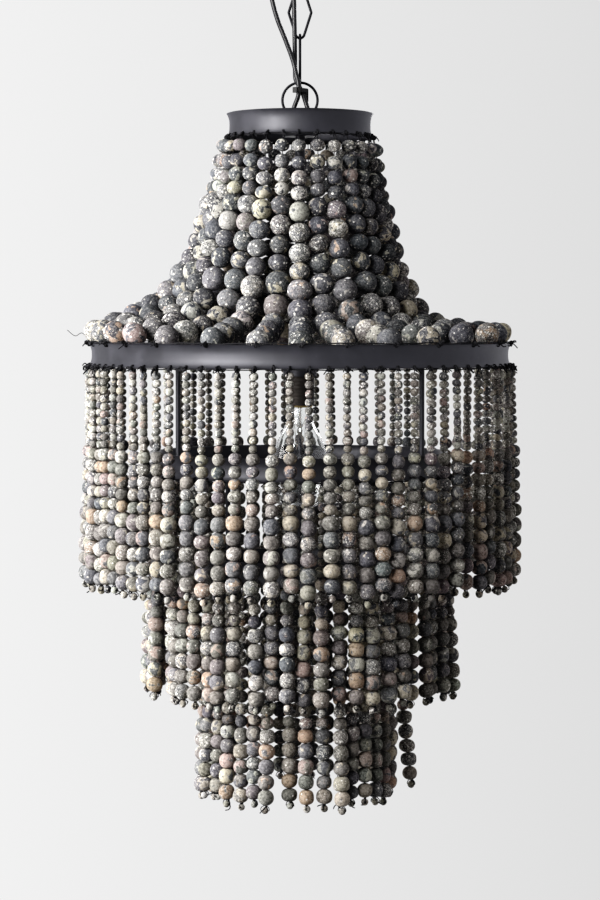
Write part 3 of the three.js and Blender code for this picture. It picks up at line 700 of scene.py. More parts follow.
def lip_tie(azimuth, lip_r, lip_z, upward):
    """The thread that loops through a band's lip, its knot and its clipped ends. upward is 1 at an upper
    lip and -1 at a lower one."""
    out = at(azimuth, 1)
    up = np.array([0, 0, 1.0])
    side = np.cross(up, out)
    middle = out * (lip_r - BAND_WALL / 2) + up * (lip_z - upward * LOOP_IN)
    turn = around(10)[:, None]
    parts = []
    for shift in (-LOOP_SHIFT, LOOP_SHIFT):
        loop = middle + out * np.cos(turn) * LOOP_OUT + up * np.sin(turn) * LOOP_UP + side * shift
        parts.append(tube(loop, LOOP_R, THREAD_SIDES, closed=True))
    edge = out * (lip_r + 1.1) + up * (lip_z + upward * 0.3) + side * rng.uniform(-1, 1)
    parts += knot(edge, rng.uniform(1.3, 2.1))
    for _ in range(rng.integers(2, 6)):
        outward, lift, aside = rng.uniform(0.1, 1.2), rng.uniform(-0.5, 1), rng.uniform(-1.2, 1.2)
        way = unit(out * outward + up * lift * upward + side * aside)
        parts.append(tail(edge, way, rng.uniform(3, 8), rng.uniform(0, 0.5)))
    return parts


def lacing_cord(r, z):
    """The cord that runs along a lip through all its ties, wandering a little."""
    turn = around(180)
    waves = (17, 28, 41, 55)
    wander = sum(rng.uniform(0.1, 0.35) * np.sin(n * turn + rng.uniform(0, TURN)) for n in waves)
    wide = r + 0.3 * wander
    points = np.stack([wide * np.sin(turn), -wide * np.cos(turn), z + wander], -1)
    return tube(points, LACING_R, 6, closed=True)


def stopper(hung_from):
    """The small bead that ends a strand, drilled across, with its thread loop, knot and loose ends."""
    across = at(rng.uniform(0, TURN), 1)
    half = STOPPER_D / 2
    middle = hung_from + (0, 0, -half - 0.5) + rng.normal(size=3) * (0.35, 0.35, 0)
    place = ("stopper", middle, across, half * rng.uniform(0.88, 1), half * rng.uniform(0.78, 0.92))
    loop = [middle + across * (half * x) + (0, 0, half * z) for x, z in STOPPER_LOOP_SHARES]
    top = middle + across * rng.uniform(-3, 3) + (0, 0, half * 1.02)
    parts = [tube(smooth_line(loop, 3, closed=True), THREAD_R, THREAD_SIDES, closed=True), *knot(top, 0.9)]
    for _ in range(rng.integers(1, 3)):
        way = unit(at(rng.uniform(0, TURN), 1) + (0, 0, rng.uniform(-0.9, 0.2)))
        parts.append(tail(top, way, rng.uniform(3, 10), rng.uniform(0, 0.7)))
    return place, parts


# Strands
# How beads of one size differ in height and width, how far each sits off its thread, and how much of its own
# height it fills
HEIGHT_SHARES = (0.9, 1.1)
WIDTH_SHARES = (0.93, 1.02)
OFF_THREAD = 0.12
FILLED_SHARE = 0.99
# How much shorter a strand of a fringe may be
SHORTEST_SHARE = 0.968


def strand_places(path_at, beads_of, start=0, length_share=1):
    """Bead places along a strand and where they end. path_at gives the point and direction at a length."""
    places, reach = [], start
    for size, high, wide, count in beads_of:
        heights = rng.uniform(*HEIGHT_SHARES, count)
        heights *= count / heights.sum() * high * length_share
        for height in heights:
            middle, along = path_at(reach + height / 2)
            radius = wide / 2 * rng.uniform(*WIDTH_SHARES)
            middle = middle + rng.normal(size=3) * OFF_THREAD
            places.append((size, middle, along, radius, height / 2 * FILLED_SHARE))
            reach += height
    return places, reach


def strand_pieces(name, places, threads, mix, body):
    """The beads of some strands, which stand for the node of that name, and their threads."""
    parts, values = beads(places, mix)
    piece(name + "_beads", parts, CLAY, body, name, "clay_beads", smooth=0, values=values)
    thread_piece(name + "_threads", threads, body)


def settled(points, gap):
    """Neighbours in a row round the lamp, moved apart until none is nearer than the gap."""
    for _ in range(120):
        for step in (1, 2):
            away = np.roll(points, -step, 0) - points
            near = np.linalg.norm(away, axis=1)
            push = away / near[:, None] * np.maximum(gap - near, 0)[:, None] / 2
            points = points - push + np.roll(push, step, 0)
    return points


def hanging_path(upper, lower, top):
    """A strand's way down from one point to another, with a slight bow of its own."""
    bow = rng.normal(size=3) * STRAND_BOW * (1, 1, 0)
    phase = rng.uniform(0, TURN)

    def path_at(drop):
        share = drop / STRAND_LENGTH
        point = upper + (lower - upper) * share**1.1
        point += bow * math.sin(phase + 3 * share) * min(1, 4 * share)
        point[2] = top - drop
        return point, np.array([0, 0, 1.0])

    return path_at


def fringe(name, band, sectors, strands, looseness, shift=0.0, stray=None):
    """Hanging strands. looseness is how far their lower ends stray outwards and sideways, shift, in steps
    between strands, sets the front ones before the gaps of the back ones, and one stray strand hangs out."""
    size = BANDS[band]
    count = sectors * strands
    pitch = TURN / count
    top = size["low"] - HANG_GAP
    hang_r = size["low_lip"] * math.cos(pitch / 2)
    turns = [(n + 0.5 - shift) * pitch + rng.normal() * 0.03 * pitch for n in range(count)]
    upper = np.array([at(turn, hang_r + (STAGGER if n % 2 else -STAGGER)) for n, turn in enumerate(turns)])
    lower = upper + np.array([at(turn, rng.normal() * looseness[0]) for turn in turns])
    lower += np.array([at(turn + TURN / 4, rng.normal() * looseness[1]) for turn in turns])
    lower[:, :2] = settled(lower[:, :2], STRAND_GAP)
    rise = np.zeros(count)
    if stray:
        lower[stray] = at(turns[stray], hang_r + STRAY_OUT)
        rise[stray] = STRAY_RISE
    ties = [lacing_cord(size["low_lip"] - BAND_WALL / 2, top + 0.1)]
    for sector in range(sectors):
        places, threads = [], []
        for n in range(sector * strands, (sector + 1) * strands):
            path_at = hanging_path(upper[n], lower[n], top)
            length_share = rng.uniform(SHORTEST_SHARE, 1.0) - rise[n] / STRAND_LENGTH
            found, reach = strand_places(path_at, STRAND_BEADS, KNOT_DROP, length_share)
            place, tied = stopper(path_at(reach)[0])
            places += [*found, place]
            line = [path_at(drop)[0] for drop in (1, *np.linspace(4, reach + 1, 20))]
            hole = at(turns[n], hang_r - BAND_WALL / 2, top + 1.2)
            threads += [*tied, tube([hole, *line], THREAD_R, THREAD_SIDES)]
            ties += lip_tie(turns[n], size["low_lip"], size["low"], -1)
        node = f"{name}_{sector + 1:02d}"
        strand_pieces(node, places, threads, "fringe", node)
    thread_piece(band + "_lower_ties", ties)


# Swag
SWAG_LENGTH = sum(high * count for _, high, _, count in SWAG_BEADS)
PER_QUARTER = SWAG_STRANDS // 4
# How far a strand's upper and lower end stray, in radians, and its middle sideways and outwards
START_STRAY, END_STRAY = 0.008, 0.014
SWAY, BULGE = 1.6, 1.7
# How far down and up, by turns, the beads in the middle of neighbours lie, and how much that differs
SLIP, SLIP_SPREAD = 4, 1.5
# How much higher the first bead sits, under its lip, and how far the last one leans over the other lip
FIRST_RISE, LAST_LEAN = 1.9, 1.1
# The longest loose end of thread, which stands out at the left of the large band
LOOSE_END = [(-215, -6, -427), (-223, -4, -418), (-230, -2, -421), (-238, -3, -415)]


def swag_outline(azimuth):
    """Points of radius and height along a strand, and how far along each is. It is slack at the front, the
    back and the right, and taut at the left."""
    middle_share, right = abs(math.cos(azimuth)) ** 0.6, math.sin(azimuth) ** 3
    slack = middle_share * rng.uniform(0.85, 1.05) + (0.8 if right > 0 else 0.4) * right
    slack = np.clip(slack + rng.uniform(-0.05, 0.15), -0.4, 1)
    outline = (1 - slack) * np.array(SWAG_TAUT) + slack * np.array(SWAG_SLACK)
    outline[-2:] += np.array(SWAG_DIP) * max(0, abs(math.cos(azimuth)) - 0.55)
    line = smooth_line(outline, 30)
    return line, np.concatenate([[0], np.cumsum(np.linalg.norm(np.diff(line, axis=0), axis=1))])


def swag_path(quarter, k):
    """The azimuths of a strand's two ends, and its way down between them. Every second strand lies further
    out and its beads further down, so that neighbours nest."""
    azimuth = (PER_QUARTER * quarter + k - (PER_QUARTER - 1) / 2) * TURN / SWAG_STRANDS
    behind = np.clip(-math.cos(azimuth) * 0.8 + 0.5, 0, 1)
    azimuth += behind * (0.5 * TURN / SWAG_STRANDS - 0.075 * math.sin(azimuth))
    start = azimuth + rng.normal() * START_STRAY
    end = azimuth + rng.normal() * END_STRAY * (1.2 - behind)
    line, steps = swag_outline(azimuth)
    sway = rng.normal() * SWAY * (1.2 - behind)
    sign = 1 if k % 2 else -1
    slip = SLIP * sign + SLIP_SPREAD * math.sin(5 * k + quarter)

    def path_at(length):
        share = length / SWAG_LENGTH
        rounding = math.sin(math.pi * share)
        s = share * steps[-1] + slip * rounding
        near = [[np.interp(q, steps, line[:, i]) for i in (0, 1)] for q in (s, s - 1, s + 1)]
        (r, z), (r1, z1), (r2, z2) = near
        turn = start + (end - start) * share
        swing = at(turn + TURN / 4, sway * rounding) + at(turn, BULGE * sign * rounding)
        return at(turn, r, z) + swing, unit(at(turn, r2 - r1, z2 - z1))

    return start, end, path_at


def swag():
    """The strands from the top band's lower lip to the large band's upper one, in four quarters."""
    top, low = BANDS["top_band"], BANDS["large_band"]
    upper_ties = [lacing_cord(top["low_lip"] - BAND_WALL / 2, top["low"] - HANG_GAP)]
    lower_ties = [lacing_cord(low["lip"] - BAND_WALL / 2, low["top"] + HANG_GAP)]
    for quarter in range(4):
        places, threads = [], []
        for k in range(PER_QUARTER):
            start, end, path_at = swag_path(quarter, k)
            found, _ = strand_places(path_at, SWAG_BEADS)
            size, middle, along, radius, half = found[0]
            found[0] = (size, middle + (0, 0, FIRST_RISE), along, radius * 0.93, half * 0.9)
            size, middle, along, radius, half = found[-1]
            along = unit(along - (0, 0, LAST_LEAN))
            found[-1] = (size, middle, along, radius, half)
            places += found
            line = [
                at(start, top["low_lip"] - BAND_WALL / 2, top["low"] + 1.5),
                at(start, top["low_lip"] + 1.5, top["low"] - 2),
                *[path_at(length)[0] for length in np.linspace(1, SWAG_LENGTH - 1, 20)[:-1]],
                middle + along * half,
                at(end, low["lip"] + 0.6, low["top"] + 1.5),
                at(end, low["lip"] - BAND_WALL / 2, low["top"] - 1),
            ]
            threads.append(tube(line, THREAD_R, THREAD_SIDES))
            upper_ties += lip_tie(start, top["low_lip"], top["low"], -1)
            lower_ties += lip_tie(end, low["lip"], low["top"], 1)
        strand_pieces(f"bead_swag_{quarter + 1:02d}", places, threads, "swag", "frame")
    lower_ties.append(tube(smooth_line(LOOSE_END, 6), 0.35, THREAD_SIDES))
    thread_piece("top_band_ties", upper_ties)
    thread_piece("large_band_upper_ties", lower_ties)


# Bands
LIP_ROLL = 0.45
# An ear of the small band, under the lower drop rods: half its width, its reach in radius, and its levels
EAR = {"half_w": 5.5, "out": 91, "inner": 78, "low": -660.5, "top": -656.5}


def band_shell(size, segments):
    """A band drawn in to its waist, with rolled lips."""
    height = size["top"] - size["low"]
    outside = []
    for share in np.linspace(0, 1, 15):
        lip = size["low_lip"] + (size["lip"] - size["low_lip"]) * share
        flare = abs(2 * share - 1) ** 2.6
        outside.append((size["waist"] + (lip - size["waist"]) * flare, size["low"] + height * share))
    inside = [(r - BAND_WALL, z) for r, z in reversed(outside)]
    (low_r, low_z), (high_r, high_z) = outside[0], outside[-1]
    low_lip = [(low_r - LIP_ROLL, low_z), (low_r, low_z + LIP_ROLL)]
    high_lip = [(high_r, high_z - LIP_ROLL), (high_r - LIP_ROLL, high_z)]
    high_in = [(high_r - BAND_WALL + LIP_ROLL, high_z), (high_r - BAND_WALL, high_z - LIP_ROLL)]
    low_in = [(low_r - BAND_WALL, low_z + LIP_ROLL), (low_r - BAND_WALL + LIP_ROLL, low_z)]
    return lathe([*low_lip, *outside[1:-1], *high_lip, *high_in, *inside[1:-1], *low_in], segments)


def bands():
    """The four bands; the small one has an ear at each lower drop rod."""
    for name, size in BANDS.items():
        parts = [band_shell(size, 144 if size["lip"] > 100 else 96)]
        if name == "small_band":
            ear = block(-EAR["half_w"], EAR["half_w"], -EAR["out"], -EAR["inner"], EAR["low"], EAR["top"])
            parts += [turned(ear, azimuth) for azimuth in ARM_AZIMUTHS]
        iron_piece(name + "_shell", parts, name, smooth=50)


# Chain: the size of a link, the wire of each ring, and the top of each, in millimetres
LINK = {"width": 22.8, "height": 51.8, "end_r": 4.5, "side_r": 3.2}
LOOP_WIRE_R, CHAIN_WIRE_R, WELD_R = 1.7, 1.4, 1.9
LOOP_W, LOOP_H, RING_W = 23.6, 28.8, 35.8
LOOP_TOP, UPPER_TOP, LOWER_TOP, RING_TOP = -41.3, -66.4, -114.8, -163.2
# Where the wires of the two links are welded shut
UPPER_WELD, LOWER_WELD = -118.6, -167


def diamond(width, height, end_r, side_r):
    """The centre line of a diamond link in the XZ plane, down from its top, in steps of about 3 mm."""
    slope = math.atan2(width / 2, height / 2)
    side = math.pi / 2
    corners = [
        (0, -end_r, end_r, slope - side, side - slope),
        (width / 2 - side_r, -height / 2, side_r, side - slope, side + slope),
        (0, end_r - height, end_r, side + slope, 3 * side - slope),
        (side_r - width / 2, -height / 2, side_r, 3 * side - slope, 3 * side + slope),
    ]
    points = []
    for x, z, r, start, stop in corners:
        for turn in np.linspace(start, stop, 6):
            points.append(np.array([x + r * math.sin(turn), 0, z + r * math.cos(turn)]))
    full = []
    for a, b in zip(points, points[1:] + points[:1], strict=True):
        cuts = max(1, int(np.linalg.norm(b - a) / 3))
        full += [a + (b - a) * k / cuts for k in range(cuts)]
    return np.array(full)


def ellipse(width, height, top_z, count):
    """The centre line of a ring in the XZ plane."""
    turn = around(count)
    return np.stack([width / 2 * np.sin(turn), 0 * turn, top_z + height / 2 * (np.cos(turn) - 1)], -1)


def weld_bead(z):
    """The small lump where a link's wire is closed."""
    turn = np.linspace(-math.pi / 2, math.pi / 2, 9)
    return moved(lathe([*zip(WELD_R * np.cos(turn), WELD_R * np.sin(turn), strict=True)], 16), by=(0, 0, z))


def chain():
    """The canopy's loop, two diamond links crosswise, and the ring."""
    loop = turned(tube(ellipse(LOOP_W, LOOP_H, LOOP_TOP, 40), LOOP_WIRE_R, 16, closed=True), TURN / 4)
    collar = [(0, -43), (7.6, -43), (9, -41.6), (9, -36.2), (7.8, UNDER_CANOPY), (0, UNDER_CANOPY)]
    stem = rod(0, 0, -34.5, -3.1, 4, 24)
    iron_piece("canopy_hanger", [loop, lathe(collar, 40), stem], "canopy_loop", "ceiling_mount")
    link = diamond(**LINK)
    upper = tube(link + (0, 0, UPPER_TOP), CHAIN_WIRE_R, 14, closed=True)
    upper = [upper, weld_bead(UPPER_WELD)]
    lower = tube(link + (0, 0, LOWER_TOP), CHAIN_WIRE_R, 14, closed=True)
    lower = [turned(lower, TURN / 4), weld_bead(LOWER_WELD)]
    ring = tube(ellipse(RING_W, RING_W, RING_TOP, 64), CHAIN_WIRE_R, 14, closed=True)
    iron_piece("upper_link_wire", upper, "upper_chain_link", "upper_link", CHAIN_IRON)
    iron_piece("lower_link_wire", lower, "lower_chain_link", "lower_link", CHAIN_IRON)
    iron_piece("hanging_ring_wire", [ring], "hanging_ring", "ring", CHAIN_IRON)


# Cords: the route of each, in millimetres, from the gland down to the hub
ROUTES = {
    "supply_cord": [
        (-26, -8, -28), (-26, -8, -40), (-30, -8.6, -56), (-28.9, -9.2, -76.9), (-23.4, -9.8, -98.8),
        (-13.6, -10.2, -124), (-6.8, -10.4, -143), (-3.8, -11.3, -156), (-1.8, -12.4, -164),
        (-1.3, -12.2, -171), (-1.9, -11.3, -178), (-5.6, -9.2, -188), (-9.2, -8.2, -200), (-9.4, -8, -212),
    ],
    "earth_cord": [
        (-16, -8, -28), (-16, -8, -40), (-11.4, -6.8, -56), (-6.6, -5.4, -76.9), (-5.8, -4.9, -98),
        (-5.4, -4.7, -120), (-5.1, -4.8, -140), (-5, -5.5, -152), (-4.4, -7.1, -160.5),
        (-1.1, -7.5, -167), (2, -7.1, -173), (4.9, -6.9, -181), (9, -7.7, -196), (9.4, -8, -212),
    ],
}
CORD_R = 2.35
# Each stretch: the two bodies, where it ends, and the heights between which it bends
STRETCHES = [
    ("ceiling_mount", "upper_link", -92, (-56, -84)),
    ("upper_link", "lower_link", -140, (-105, -131)),
    ("lower_link", "ring", -180.5, (-153, -169)),
    ("ring", "frame", -212, (-190, -206)),
]
# A route's own points come no nearer than this to the end of a stretch
END_GAP = 0.2
# The x and y at which the cords leave the gland, and those at which they enter the hub
GLAND_HOLES = [route[0][:2] for route in ROUTES.values()]
HUB_HOLES = [route[-1][:2] for route in ROUTES.values()]


def level(line, z):
    """The point of a cord's line at a height."""
    order = np.argsort(line[:, 2])
    return np.array([np.interp(z, line[order, 2], line[order, i]) for i in range(3)])


def cords():
    """Both cords, in stretches that end at the listed heights."""
    for name, route in ROUTES.items():
        line = smooth_line(route, 10)
        top = line[0][2]
        for number, (upper, lower, end, (bend_top, bend_low)) in enumerate(STRETCHES):
            inside = line[(line[:, 2] < top - END_GAP) & (line[:, 2] > end + END_GAP)]
            path = np.concatenate([[level(line, top)], inside, [level(line, end)]])
            stretch = tube(path, CORD_R, 16)
            made = piece(f"{name}_{number + 1}", [stretch], FLEX, None, None, "black_cord", smooth=50)
            if number == 0:
                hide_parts(name)
            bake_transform(made)
            top = end


# The tie round the cords: the inside of its strap, the strap's wall and width, its corners and its edges
TIE = {"half_long": 7.4, "half_wide": 4, "wall": 1.2, "wide": 4.6, "corner": 3.2, "edge": 0.3}
TIE_MIDDLE = (0.75, -8.95, -172)
TIE_TURN = 1.0
TIE_SIDES = 48


def strap_line():
    """The middle of the strap's wall, seen from above: a rectangle with round corners."""
    points = []
    for turn in around(TIE_SIDES):
        along, across = math.cos(turn), math.sin(turn)
        corner = TIE["corner"]
        x = math.copysign(max(TIE["half_long"] + TIE["wall"] / 2 - corner, 0), along) + corner * along
        y = math.copysign(max(TIE["half_wide"] + TIE["wall"] / 2 - corner, 0), across) + corner * across
        points.append((x, y))
    return np.array(points)


def cord_tie():
    """The strap round both cords, its head and its tail."""
    line = strap_line()
    x, y = line.T
    out = np.stack([np.roll(y, -1) - np.roll(y, 1), np.roll(x, 1) - np.roll(x, -1)], -1)
    out /= np.linalg.norm(out, axis=1)[:, None]
    deep, high, edge = TIE["wall"] / 2, TIE["wide"] / 2, TIE["edge"]
    outer = [(deep - edge, high), (deep, high - edge), (deep, edge - high), (deep - edge, -high)]
    inner = [(-depth, z) for depth, z in reversed(outer)]
    rows = []
    for depth, z in outer + inner:
        rows.append(np.concatenate([line + out * depth, np.full((TIE_SIDES, 1), z)], 1))
    strap = (np.array(rows[::-1]).reshape(-1, 3), grid_faces(len(rows), TIE_SIDES, True))
    reach = TIE["half_long"]
    head = block(-reach - 4.2, -reach - 0.6, -2.5, 2.5, -2.8, 2.8)
    drop = [(0, -1, 1.6 - 12.4 * s + 0.8 * math.sin(3 * s)) for s in np.linspace(0, 1, 7)]
    end = moved(tube(drop, 1, 8), np.diag([0.6, 2.4, 1]), by=(reach + 1.4, 1, 0))
    parts = [moved(turned(part, TIE_TURN), by=TIE_MIDDLE) for part in (strap, head, end)]
    piece("tie_strap", parts, BLACK_PLASTIC, "ring", "cord_tie", "black_plastic", bevel=0.25)


# Ceiling fittings
def canopy():
    """The shell against the ceiling and the two cap nuts that hold it."""
    outline = [(60, 0), (60, -2.5), (59.6, -8), (58.4, -14), (56, -21), (52.8, -27), (49.5, -31)]
    outer = smooth_line([*outline, (45.5, -33.6), (41, CANOPY_LOW)], 3)
    wall, side_rise, hole_r = 1.2, 0.5, 4.5
    inner = [(r - wall, min(z + (wall if r < 47 else side_rise), 0)) for r, z in outer]
    profile = [(hole_r, CANOPY_LOW), *outer[::-1], *inner, (hole_r, CANOPY_LOW + wall)]
    iron_piece("canopy_shell", [lathe(profile, 96)], "ceiling_canopy", "ceiling_mount", smooth=40)
    dome = [(0, -42.3), (1.6, -42.2), (3.2, -41.6), (4.3, -40.4), (4.9, -38.6), (5, -36.4)]
    dome += [(5, UNDER_CANOPY), (0, UNDER_CANOPY)]
    for side, y in (("front", -STUD_Y), ("back", STUD_Y)):
        iron_piece("cap_nut_" + side, [lathe(dome, 24, 0, y)], "canopy_nut_" + side, "ceiling_mount")


def strap():
    """The mounting strap with its stem and its two threaded studs."""
    parts = [block(-10, 10, -44, 44, -2.5, 0), rod(0, 0, -11.5, -2.4, 8, 32)]
    parts += [rod(0, y, -39, -2.4, 2, 16) for y in (-STUD_Y, STUD_Y)]
    for y in (-STUD_Y, STUD_Y):
        for z in np.arange(-32, -6, 1.6):
            parts.append(lathe([(1.9, z), (2.15, z + 0.4), (1.9, z + 0.8)], 16, 0, y))
    piece("strap_plate", parts, ZINC, "ceiling_mount", "mounting_strap", "zinc_steel", bevel=0.4)


def gland():
    """The cord gland with a collar round each cord, and its terminal screws."""
    flange = [(0, -36.8), (11, -36.8), (12, -35.9), (12, UNDER_CANOPY)]
    flange += [(10, UNDER_CANOPY), (10, -20.8), (0, -20.8)]
    (left, y), (right, _) = GLAND_HOLES
    collar = [(2.4, -39.4), (3.4, -39.4), (4.2, -36.8), (4.2, -36.4), (2.4, -36.4)]
    parts = [lathe(flange, 40, (left + right) / 2, y), *[lathe(collar, 24, *hole) for hole in GLAND_HOLES]]
    piece("gland_body", parts, BLACK_PLASTIC, "ceiling_mount", "cord_gland", "black_plastic", bevel=0.3)
    screws = [rod(x, y + side, -20.9, -19.6, 2, 16) for x, y in GLAND_HOLES for side in (-4, 4)]
    piece("terminal_screws", screws, BRASS, "ceiling_mount", None, "brass_screw", bevel=0.2)


# Frame: hub, arms, rods and the parts that carry the bands
ROD_R = 2.5
# A hexagon nut of a drop rod: its radius and its height
NUT_R, NUT_H = 4.5, 4.6
SEAT_GAP = 0.3


def arms(r0, r1, width, z0, z1, tab_w, tab_z0, tab_z1):
    """Three bars from one radius to another, each with an upright tab at its outer end."""
    thick = 2.5
    bar = block(-width / 2, width / 2, -r1 + thick / 2, -r0, z0, z1)
    tab = block(-tab_w / 2, tab_w / 2, -r1, -r1 + thick, tab_z0, tab_z1)
    return [turned(part, azimuth) for azimuth in ARM_AZIMUTHS for part in (bar, tab)]


def hub(r, z0, z1, bore=5.2):
    """A round boss with broken edges and a bore."""
    edge = 0.8
    outside = [(r - edge, z0), (r, z0 + edge), (r, z1 - edge), (r - edge, z1)]
    return lathe([(bore, z0), *outside, (bore, z1)], 48)


def hexagon(x, y, z0, z1):
    """A nut on a drop rod."""
    near = NUT_R * 0.94
    return lathe([(0, z0), (near, z0), (NUT_R, z0 + 0.4), (NUT_R, z1 - 0.4), (near, z1), (0, z1)], 6, x, y)


def top_hub():
    """The hub under the ring: its lug, its arms to the top band and a grommet for each cord."""
    half = [(7.8, 1.5), (7.2, 2), (4.3, 2), (3.8, 1.6)]
    lug = lathe([*[(r, -z) for r, z in reversed(half)], *half], 32)
    lug = moved(turned(lug, TURN / 4, "Y"), by=(0, 0, -200.8))
    neck = block(-2, 2, -7.7, 7.7, -208.1, -203.6)
    grommet = [(2.4, -208), (3.9, -208), (3.9, -207.2), (2.9, -206.4), (2.4, -206.4)]
    parts = [hub(18, -218, -208, 1), lug, neck, *arms(10, 70.2, 8, -215.5, -210.5, 12, -215.75, -197.75)]
    parts += [lathe(grommet, 24, *hole) for hole in HUB_HOLES]
    iron_piece("top_hub", parts, "top_spider", bevel=0.5)


def drop_rods(base, r, seat, hung):
    """Three rods, each with a nut over the part it hangs from and one under the part it carries."""
    head, foot = seat + SEAT_GAP, hung - SEAT_GAP
    for number, azimuth in enumerate(ARM_AZIMUTHS):
        x, y, _ = at(azimuth, r)
        parts = [rod(x, y, foot - 6, head + 6.4, ROD_R, 20)]
        parts += [hexagon(x, y, head, head + NUT_H), hexagon(x, y, foot - NUT_H, foot)]
        node = f"{base}_{number + 1:02d}"
        iron_piece(node + "_bar", parts, node, bevel=0.2)


def carrying_frame():
    """The hub, the stem and the spider of the large band, and what hangs the lower bands from it."""
    top_hub()
    pipe = lathe([(3.5, -455), (5, -455), (5, -213.5), (3.5, -213.5)], 32)
    iron_piece("stem_pipe", [pipe], "stem_tube")
    large = [hub(20, -444.95, -434.95), *arms(10, 210.6, 11, -442.95, SPIDER_TOP, 14, -448.95, -430.95)]
    iron_piece("large_hub", large, "large_spider", bevel=0.6)
    rim = lathe([(77, CARRIER_LOW), (91, CARRIER_LOW), (91, CARRIER_TOP), (77, CARRIER_TOP)], 96)
    carrier = [rim, *arms(84, 146.1, 11, CARRIER_LOW, CARRIER_TOP, 14, CARRIER_LOW, -545.25)]
    iron_piece("carrier_ring", carrier, "middle_carrier", bevel=0.5)
    drop_rods("drop_rod", 140.54, SPIDER_TOP, CARRIER_LOW)
    drop_rods("lower_drop_rod", 84, CARRIER_TOP, EAR["low"])


# Lamp
def socket():
    """The dark cover and the ribbed socket in it."""
    cup = [(5.4, -447), (14.6, -447), (15.5, -448), (15.5, -462.25), (17, -462.25), (17, -447.6)]
    cup += [(15.4, -445.5), (13, -445.25), (5.4, -445.25)]
    iron_piece("socket_cup", [lathe(cup, 64)], "socket_cover")
    shell = [(0, -466.05), (13.5, -466.05), (13.5, -492.05), (14.6, -492.05)]
    for z in np.linspace(-490.5, -449.5, 12):
        shell += [(14.6, z - 0.9), (14.25, z), (14.6, z + 0.9)]
    shell += [(14.6, -448), (13.6, -447.05), (5.3, -447.05), (5.3, -455), (0, -455)]
    piece("socket_body", [lathe(shell, 64)], PHENOLIC, "frame", "lamp_socket", "socket_shell")


def screw_base():
    """The bulb's screw, with seven turns of eight steps each, and its contact."""
    turns, cuts = 7, 8
    steps = range(turns * cuts + 1)
    screw = [(12.75 + 0.35 * math.cos(TURN * i / cuts), -492.5 + 24 * i / (turns * cuts)) for i in steps]
    contact = [(12.4, -467.6), (4, -467.55), (4, -466.8), (3, -466.4), (0, -466.4)]
    outline = [(12.2, -494.05), *screw, *contact, (0, -468.5), (11.9, -468.5)]
    piece("screw_base", [lathe(outline, 64)], BRASS, "bulb", "bulb_base", "brass_screw")


def bulb_glass():
    """The pear-shaped glass, thicker at its foot, and the glass stem that holds the wires."""
    neck, widest, wall, top, height = 11.8, 30, 0.9, -486.05, 111
    # Along the glass from its neck: how far its radius is from the neck's to the widest, and how far down
    shares = [(0, 0), (0.01, 0.13), (0.18, 0.24), (0.62, 0.38), (0.93, 0.56), (1, 0.7)]
    shares += [(0.9, 0.85), (0.45, 0.97)]
    points = [(neck + (widest - neck) * out, top - height * down) for out, down in shares]
    side = smooth_line([*points, (0, top - height)], 5)
    side[:, 1] = np.maximum(side[:, 1], top - height)
    inner = side.copy()
    inner[:, 0] = np.maximum(side[:, 0] - wall, 0)
    foot_from, foot = -560, 37
    inner[:, 1] += wall * np.maximum(foot_from - side[:, 1], 0) / foot
    glass = lathe([*side[::-1], *inner], 64)
    piece("bulb_envelope", [glass], GLASS, "bulb", "bulb_glass", "clear_glass", smooth=60)
    stem = [(0, -520.5), (1.2, -520.2), (1.7, -517), (1.8, -505), (2.4, -492), (5.5, -478), (8, -469)]
    piece("bulb_stem", [lathe([*stem, (0, -469)], 32)], GLASS, "bulb", None, "clear_glass", smooth=60)


def filament():
    """The zigzag wire, the hooks that hold it up and down, and its two leads."""
    legs, r, high, low = 8, 9, -504, -537
    zigzag, wires = [], []
    for a in around(legs):
        upper, lower = at(a, r, high), at(a + TURN / legs / 2, r, low)
        zigzag += [upper, lower]
        wires.append(tube([at(a, 0.8, -516), at(a, 5, -511), upper], 0.22, 6))
        wires.append(tube([at(a, 0.8, -519), at(a + TURN / legs / 2, 5, -530), lower], 0.22, 6))
    wires.append(tube(zigzag, 0.3, 6))
    for side in (1, -1):
        wires.append(tube([(0, 2 * side, -470), (0, 1.5 * side, -500), (0, 0.9 * side, -516)], 0.35, 6))
    piece("filament_wires", wires, TUNGSTEN, "bulb", "bulb_filament", "filament_wire", smooth=0)


# Light, background and floor, in metres
AIM = Vector((0, 0, -0.5))
FLOOR_R, FLOOR_Z = 10, -4
# The wall behind, with painted light that makes it paler at its left: how far it fades to either side, and
# its two tones
FADE, LEFT_TONE, RIGHT_TONE = 0.14, 0.875, 0.69
ROOM_SHINE = (0.8, 0.8, 0.85)
ROOM_LIGHT = (0.085, 0.085, 0.086)
# Points of the tone curve: darker shadows and slightly brighter lights
TONES = [(0.02, 0.009), (0.1, 0.09), (0.35, 0.38), (0.8, 0.83)]


def area_light(name, azimuth, height, distance, width, tall, power, colour=(1, 1, 1), shines=True):
    """A light that faces the lamp from an azimuth in degrees, and may show in glossy surfaces."""
    data = bpy.data.lights.new(name, "AREA")
    data.shape = "RECTANGLE"
    data.size, data.size_y = width, tall
    data.energy = power
    data.color = colour
    light = bpy.data.objects.new(name, data)
    bpy.context.scene.collection.objects.link(light)
    turn = math.radians(azimuth)
    light.location = AIM + Vector((math.sin(turn) * distance, -math.cos(turn) * distance, height))
    light.rotation_euler = (AIM - light.location).to_track_quat("-Z", "Y").to_euler()
    light.visible_glossy = shines


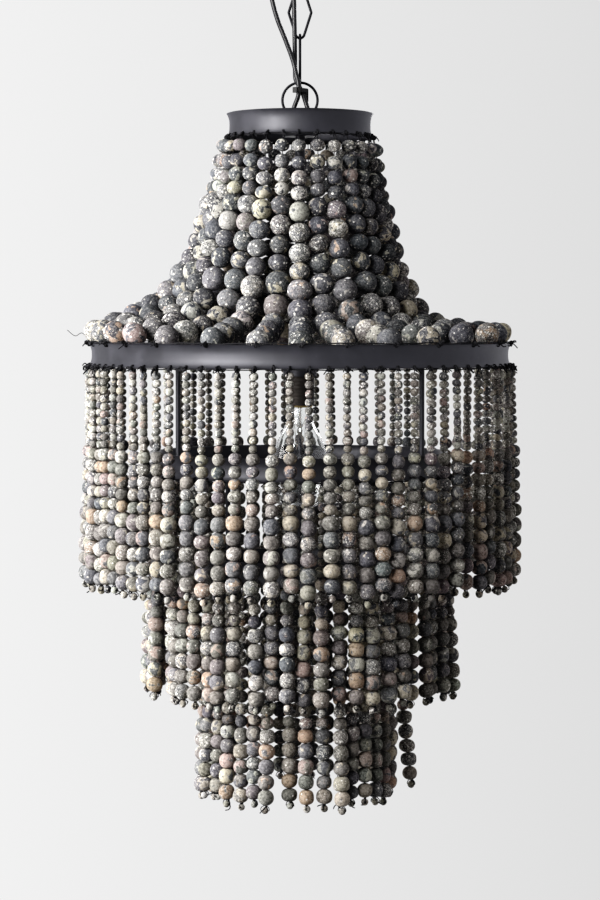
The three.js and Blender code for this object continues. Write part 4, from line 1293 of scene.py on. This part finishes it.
def backdrop():
    """A pale wall for the camera and the glass, with painted light paler at its left, greys for what shines
    and for the light in the room.
    """
    world = bpy.data.worlds.new("studio")
    bpy.context.scene.world = world
    nodes = Nodes(world)
    kinds = ("Camera", "Transmission", "Glossy")
    camera, through, glossy = (nodes.node("LightPath", out=f"Is {kind} Ray") for kind in kinds)
    across = nodes.node("SeparateXYZ", [nodes.node("TexCoord", out="Generated")], out="X")
    # painted light: the wall runs from pale at the left to darker at the right
    fade = {"Value": across, "From Min": -FADE, "From Max": FADE, "To Min": LEFT_TONE, "To Max": RIGHT_TONE}
    room = nodes.mix(ROOM_LIGHT, ROOM_SHINE, glossy)
    seen = nodes.mix(room, nodes.node("MapRange", fade), nodes.larger(camera, through))
    nodes.fill(nodes.tree.nodes["Background"].inputs["Color"], seen)


def lay_floor():
    """A round floor far below, which gives no light to the lamp."""
    mesh = bpy.data.meshes.new("floor")
    rim = [(FLOOR_R * math.cos(turn), FLOOR_R * math.sin(turn), 0) for turn in around(96)]
    mesh.from_pydata(rim, [], [tuple(range(96))])
    mesh.materials.append(floor_look())
    floor = bpy.data.objects.new("floor", mesh)
    floor.location.z = FLOOR_Z
    floor.visible_diffuse = floor.visible_glossy = False
    bpy.context.scene.collection.objects.link(floor)


def studio():
    """Light from the left, weak fills, the backdrop, the floor and the tone curve."""
    area_light("key", -42, 0.7, 2.2, 1.2, 1.4, 107, (1, 0.99, 0.98))
    area_light("side", -82, 0.3, 2.6, 2.2, 2.0, 365, (1, 0.985, 0.97), shines=False)
    area_light("right_fill", 84, -0.3, 2.8, 1.6, 1.6, 34, (1, 0.97, 0.95), shines=False)
    area_light("back_fill", 178, 0.6, 2.6, 1.2, 1.2, 28)
    backdrop()
    lay_floor()
    view = bpy.context.scene.view_settings
    view.view_transform = "Standard"
    view.use_curve_mapping = True
    for place in TONES:
        view.curve_mapping.curves[3].points.new(*place)
    view.curve_mapping.update()


cords()
cord_tie()
chain()
canopy()
strap()
gland()
bands()
fringe("outer_fringe", "large_band", 11, 7, (2.2, 1.7))
fringe("middle_fringe", "middle_band", 8, 7, (5.5, 2.6), shift=0.25)
fringe("inner_fringe", "small_band", 6, 6, (5.5, 2.2), shift=0.25, stray=8)
swag()
carrying_frame()
socket()
screw_base()
bulb_glass()
filament()
studio()
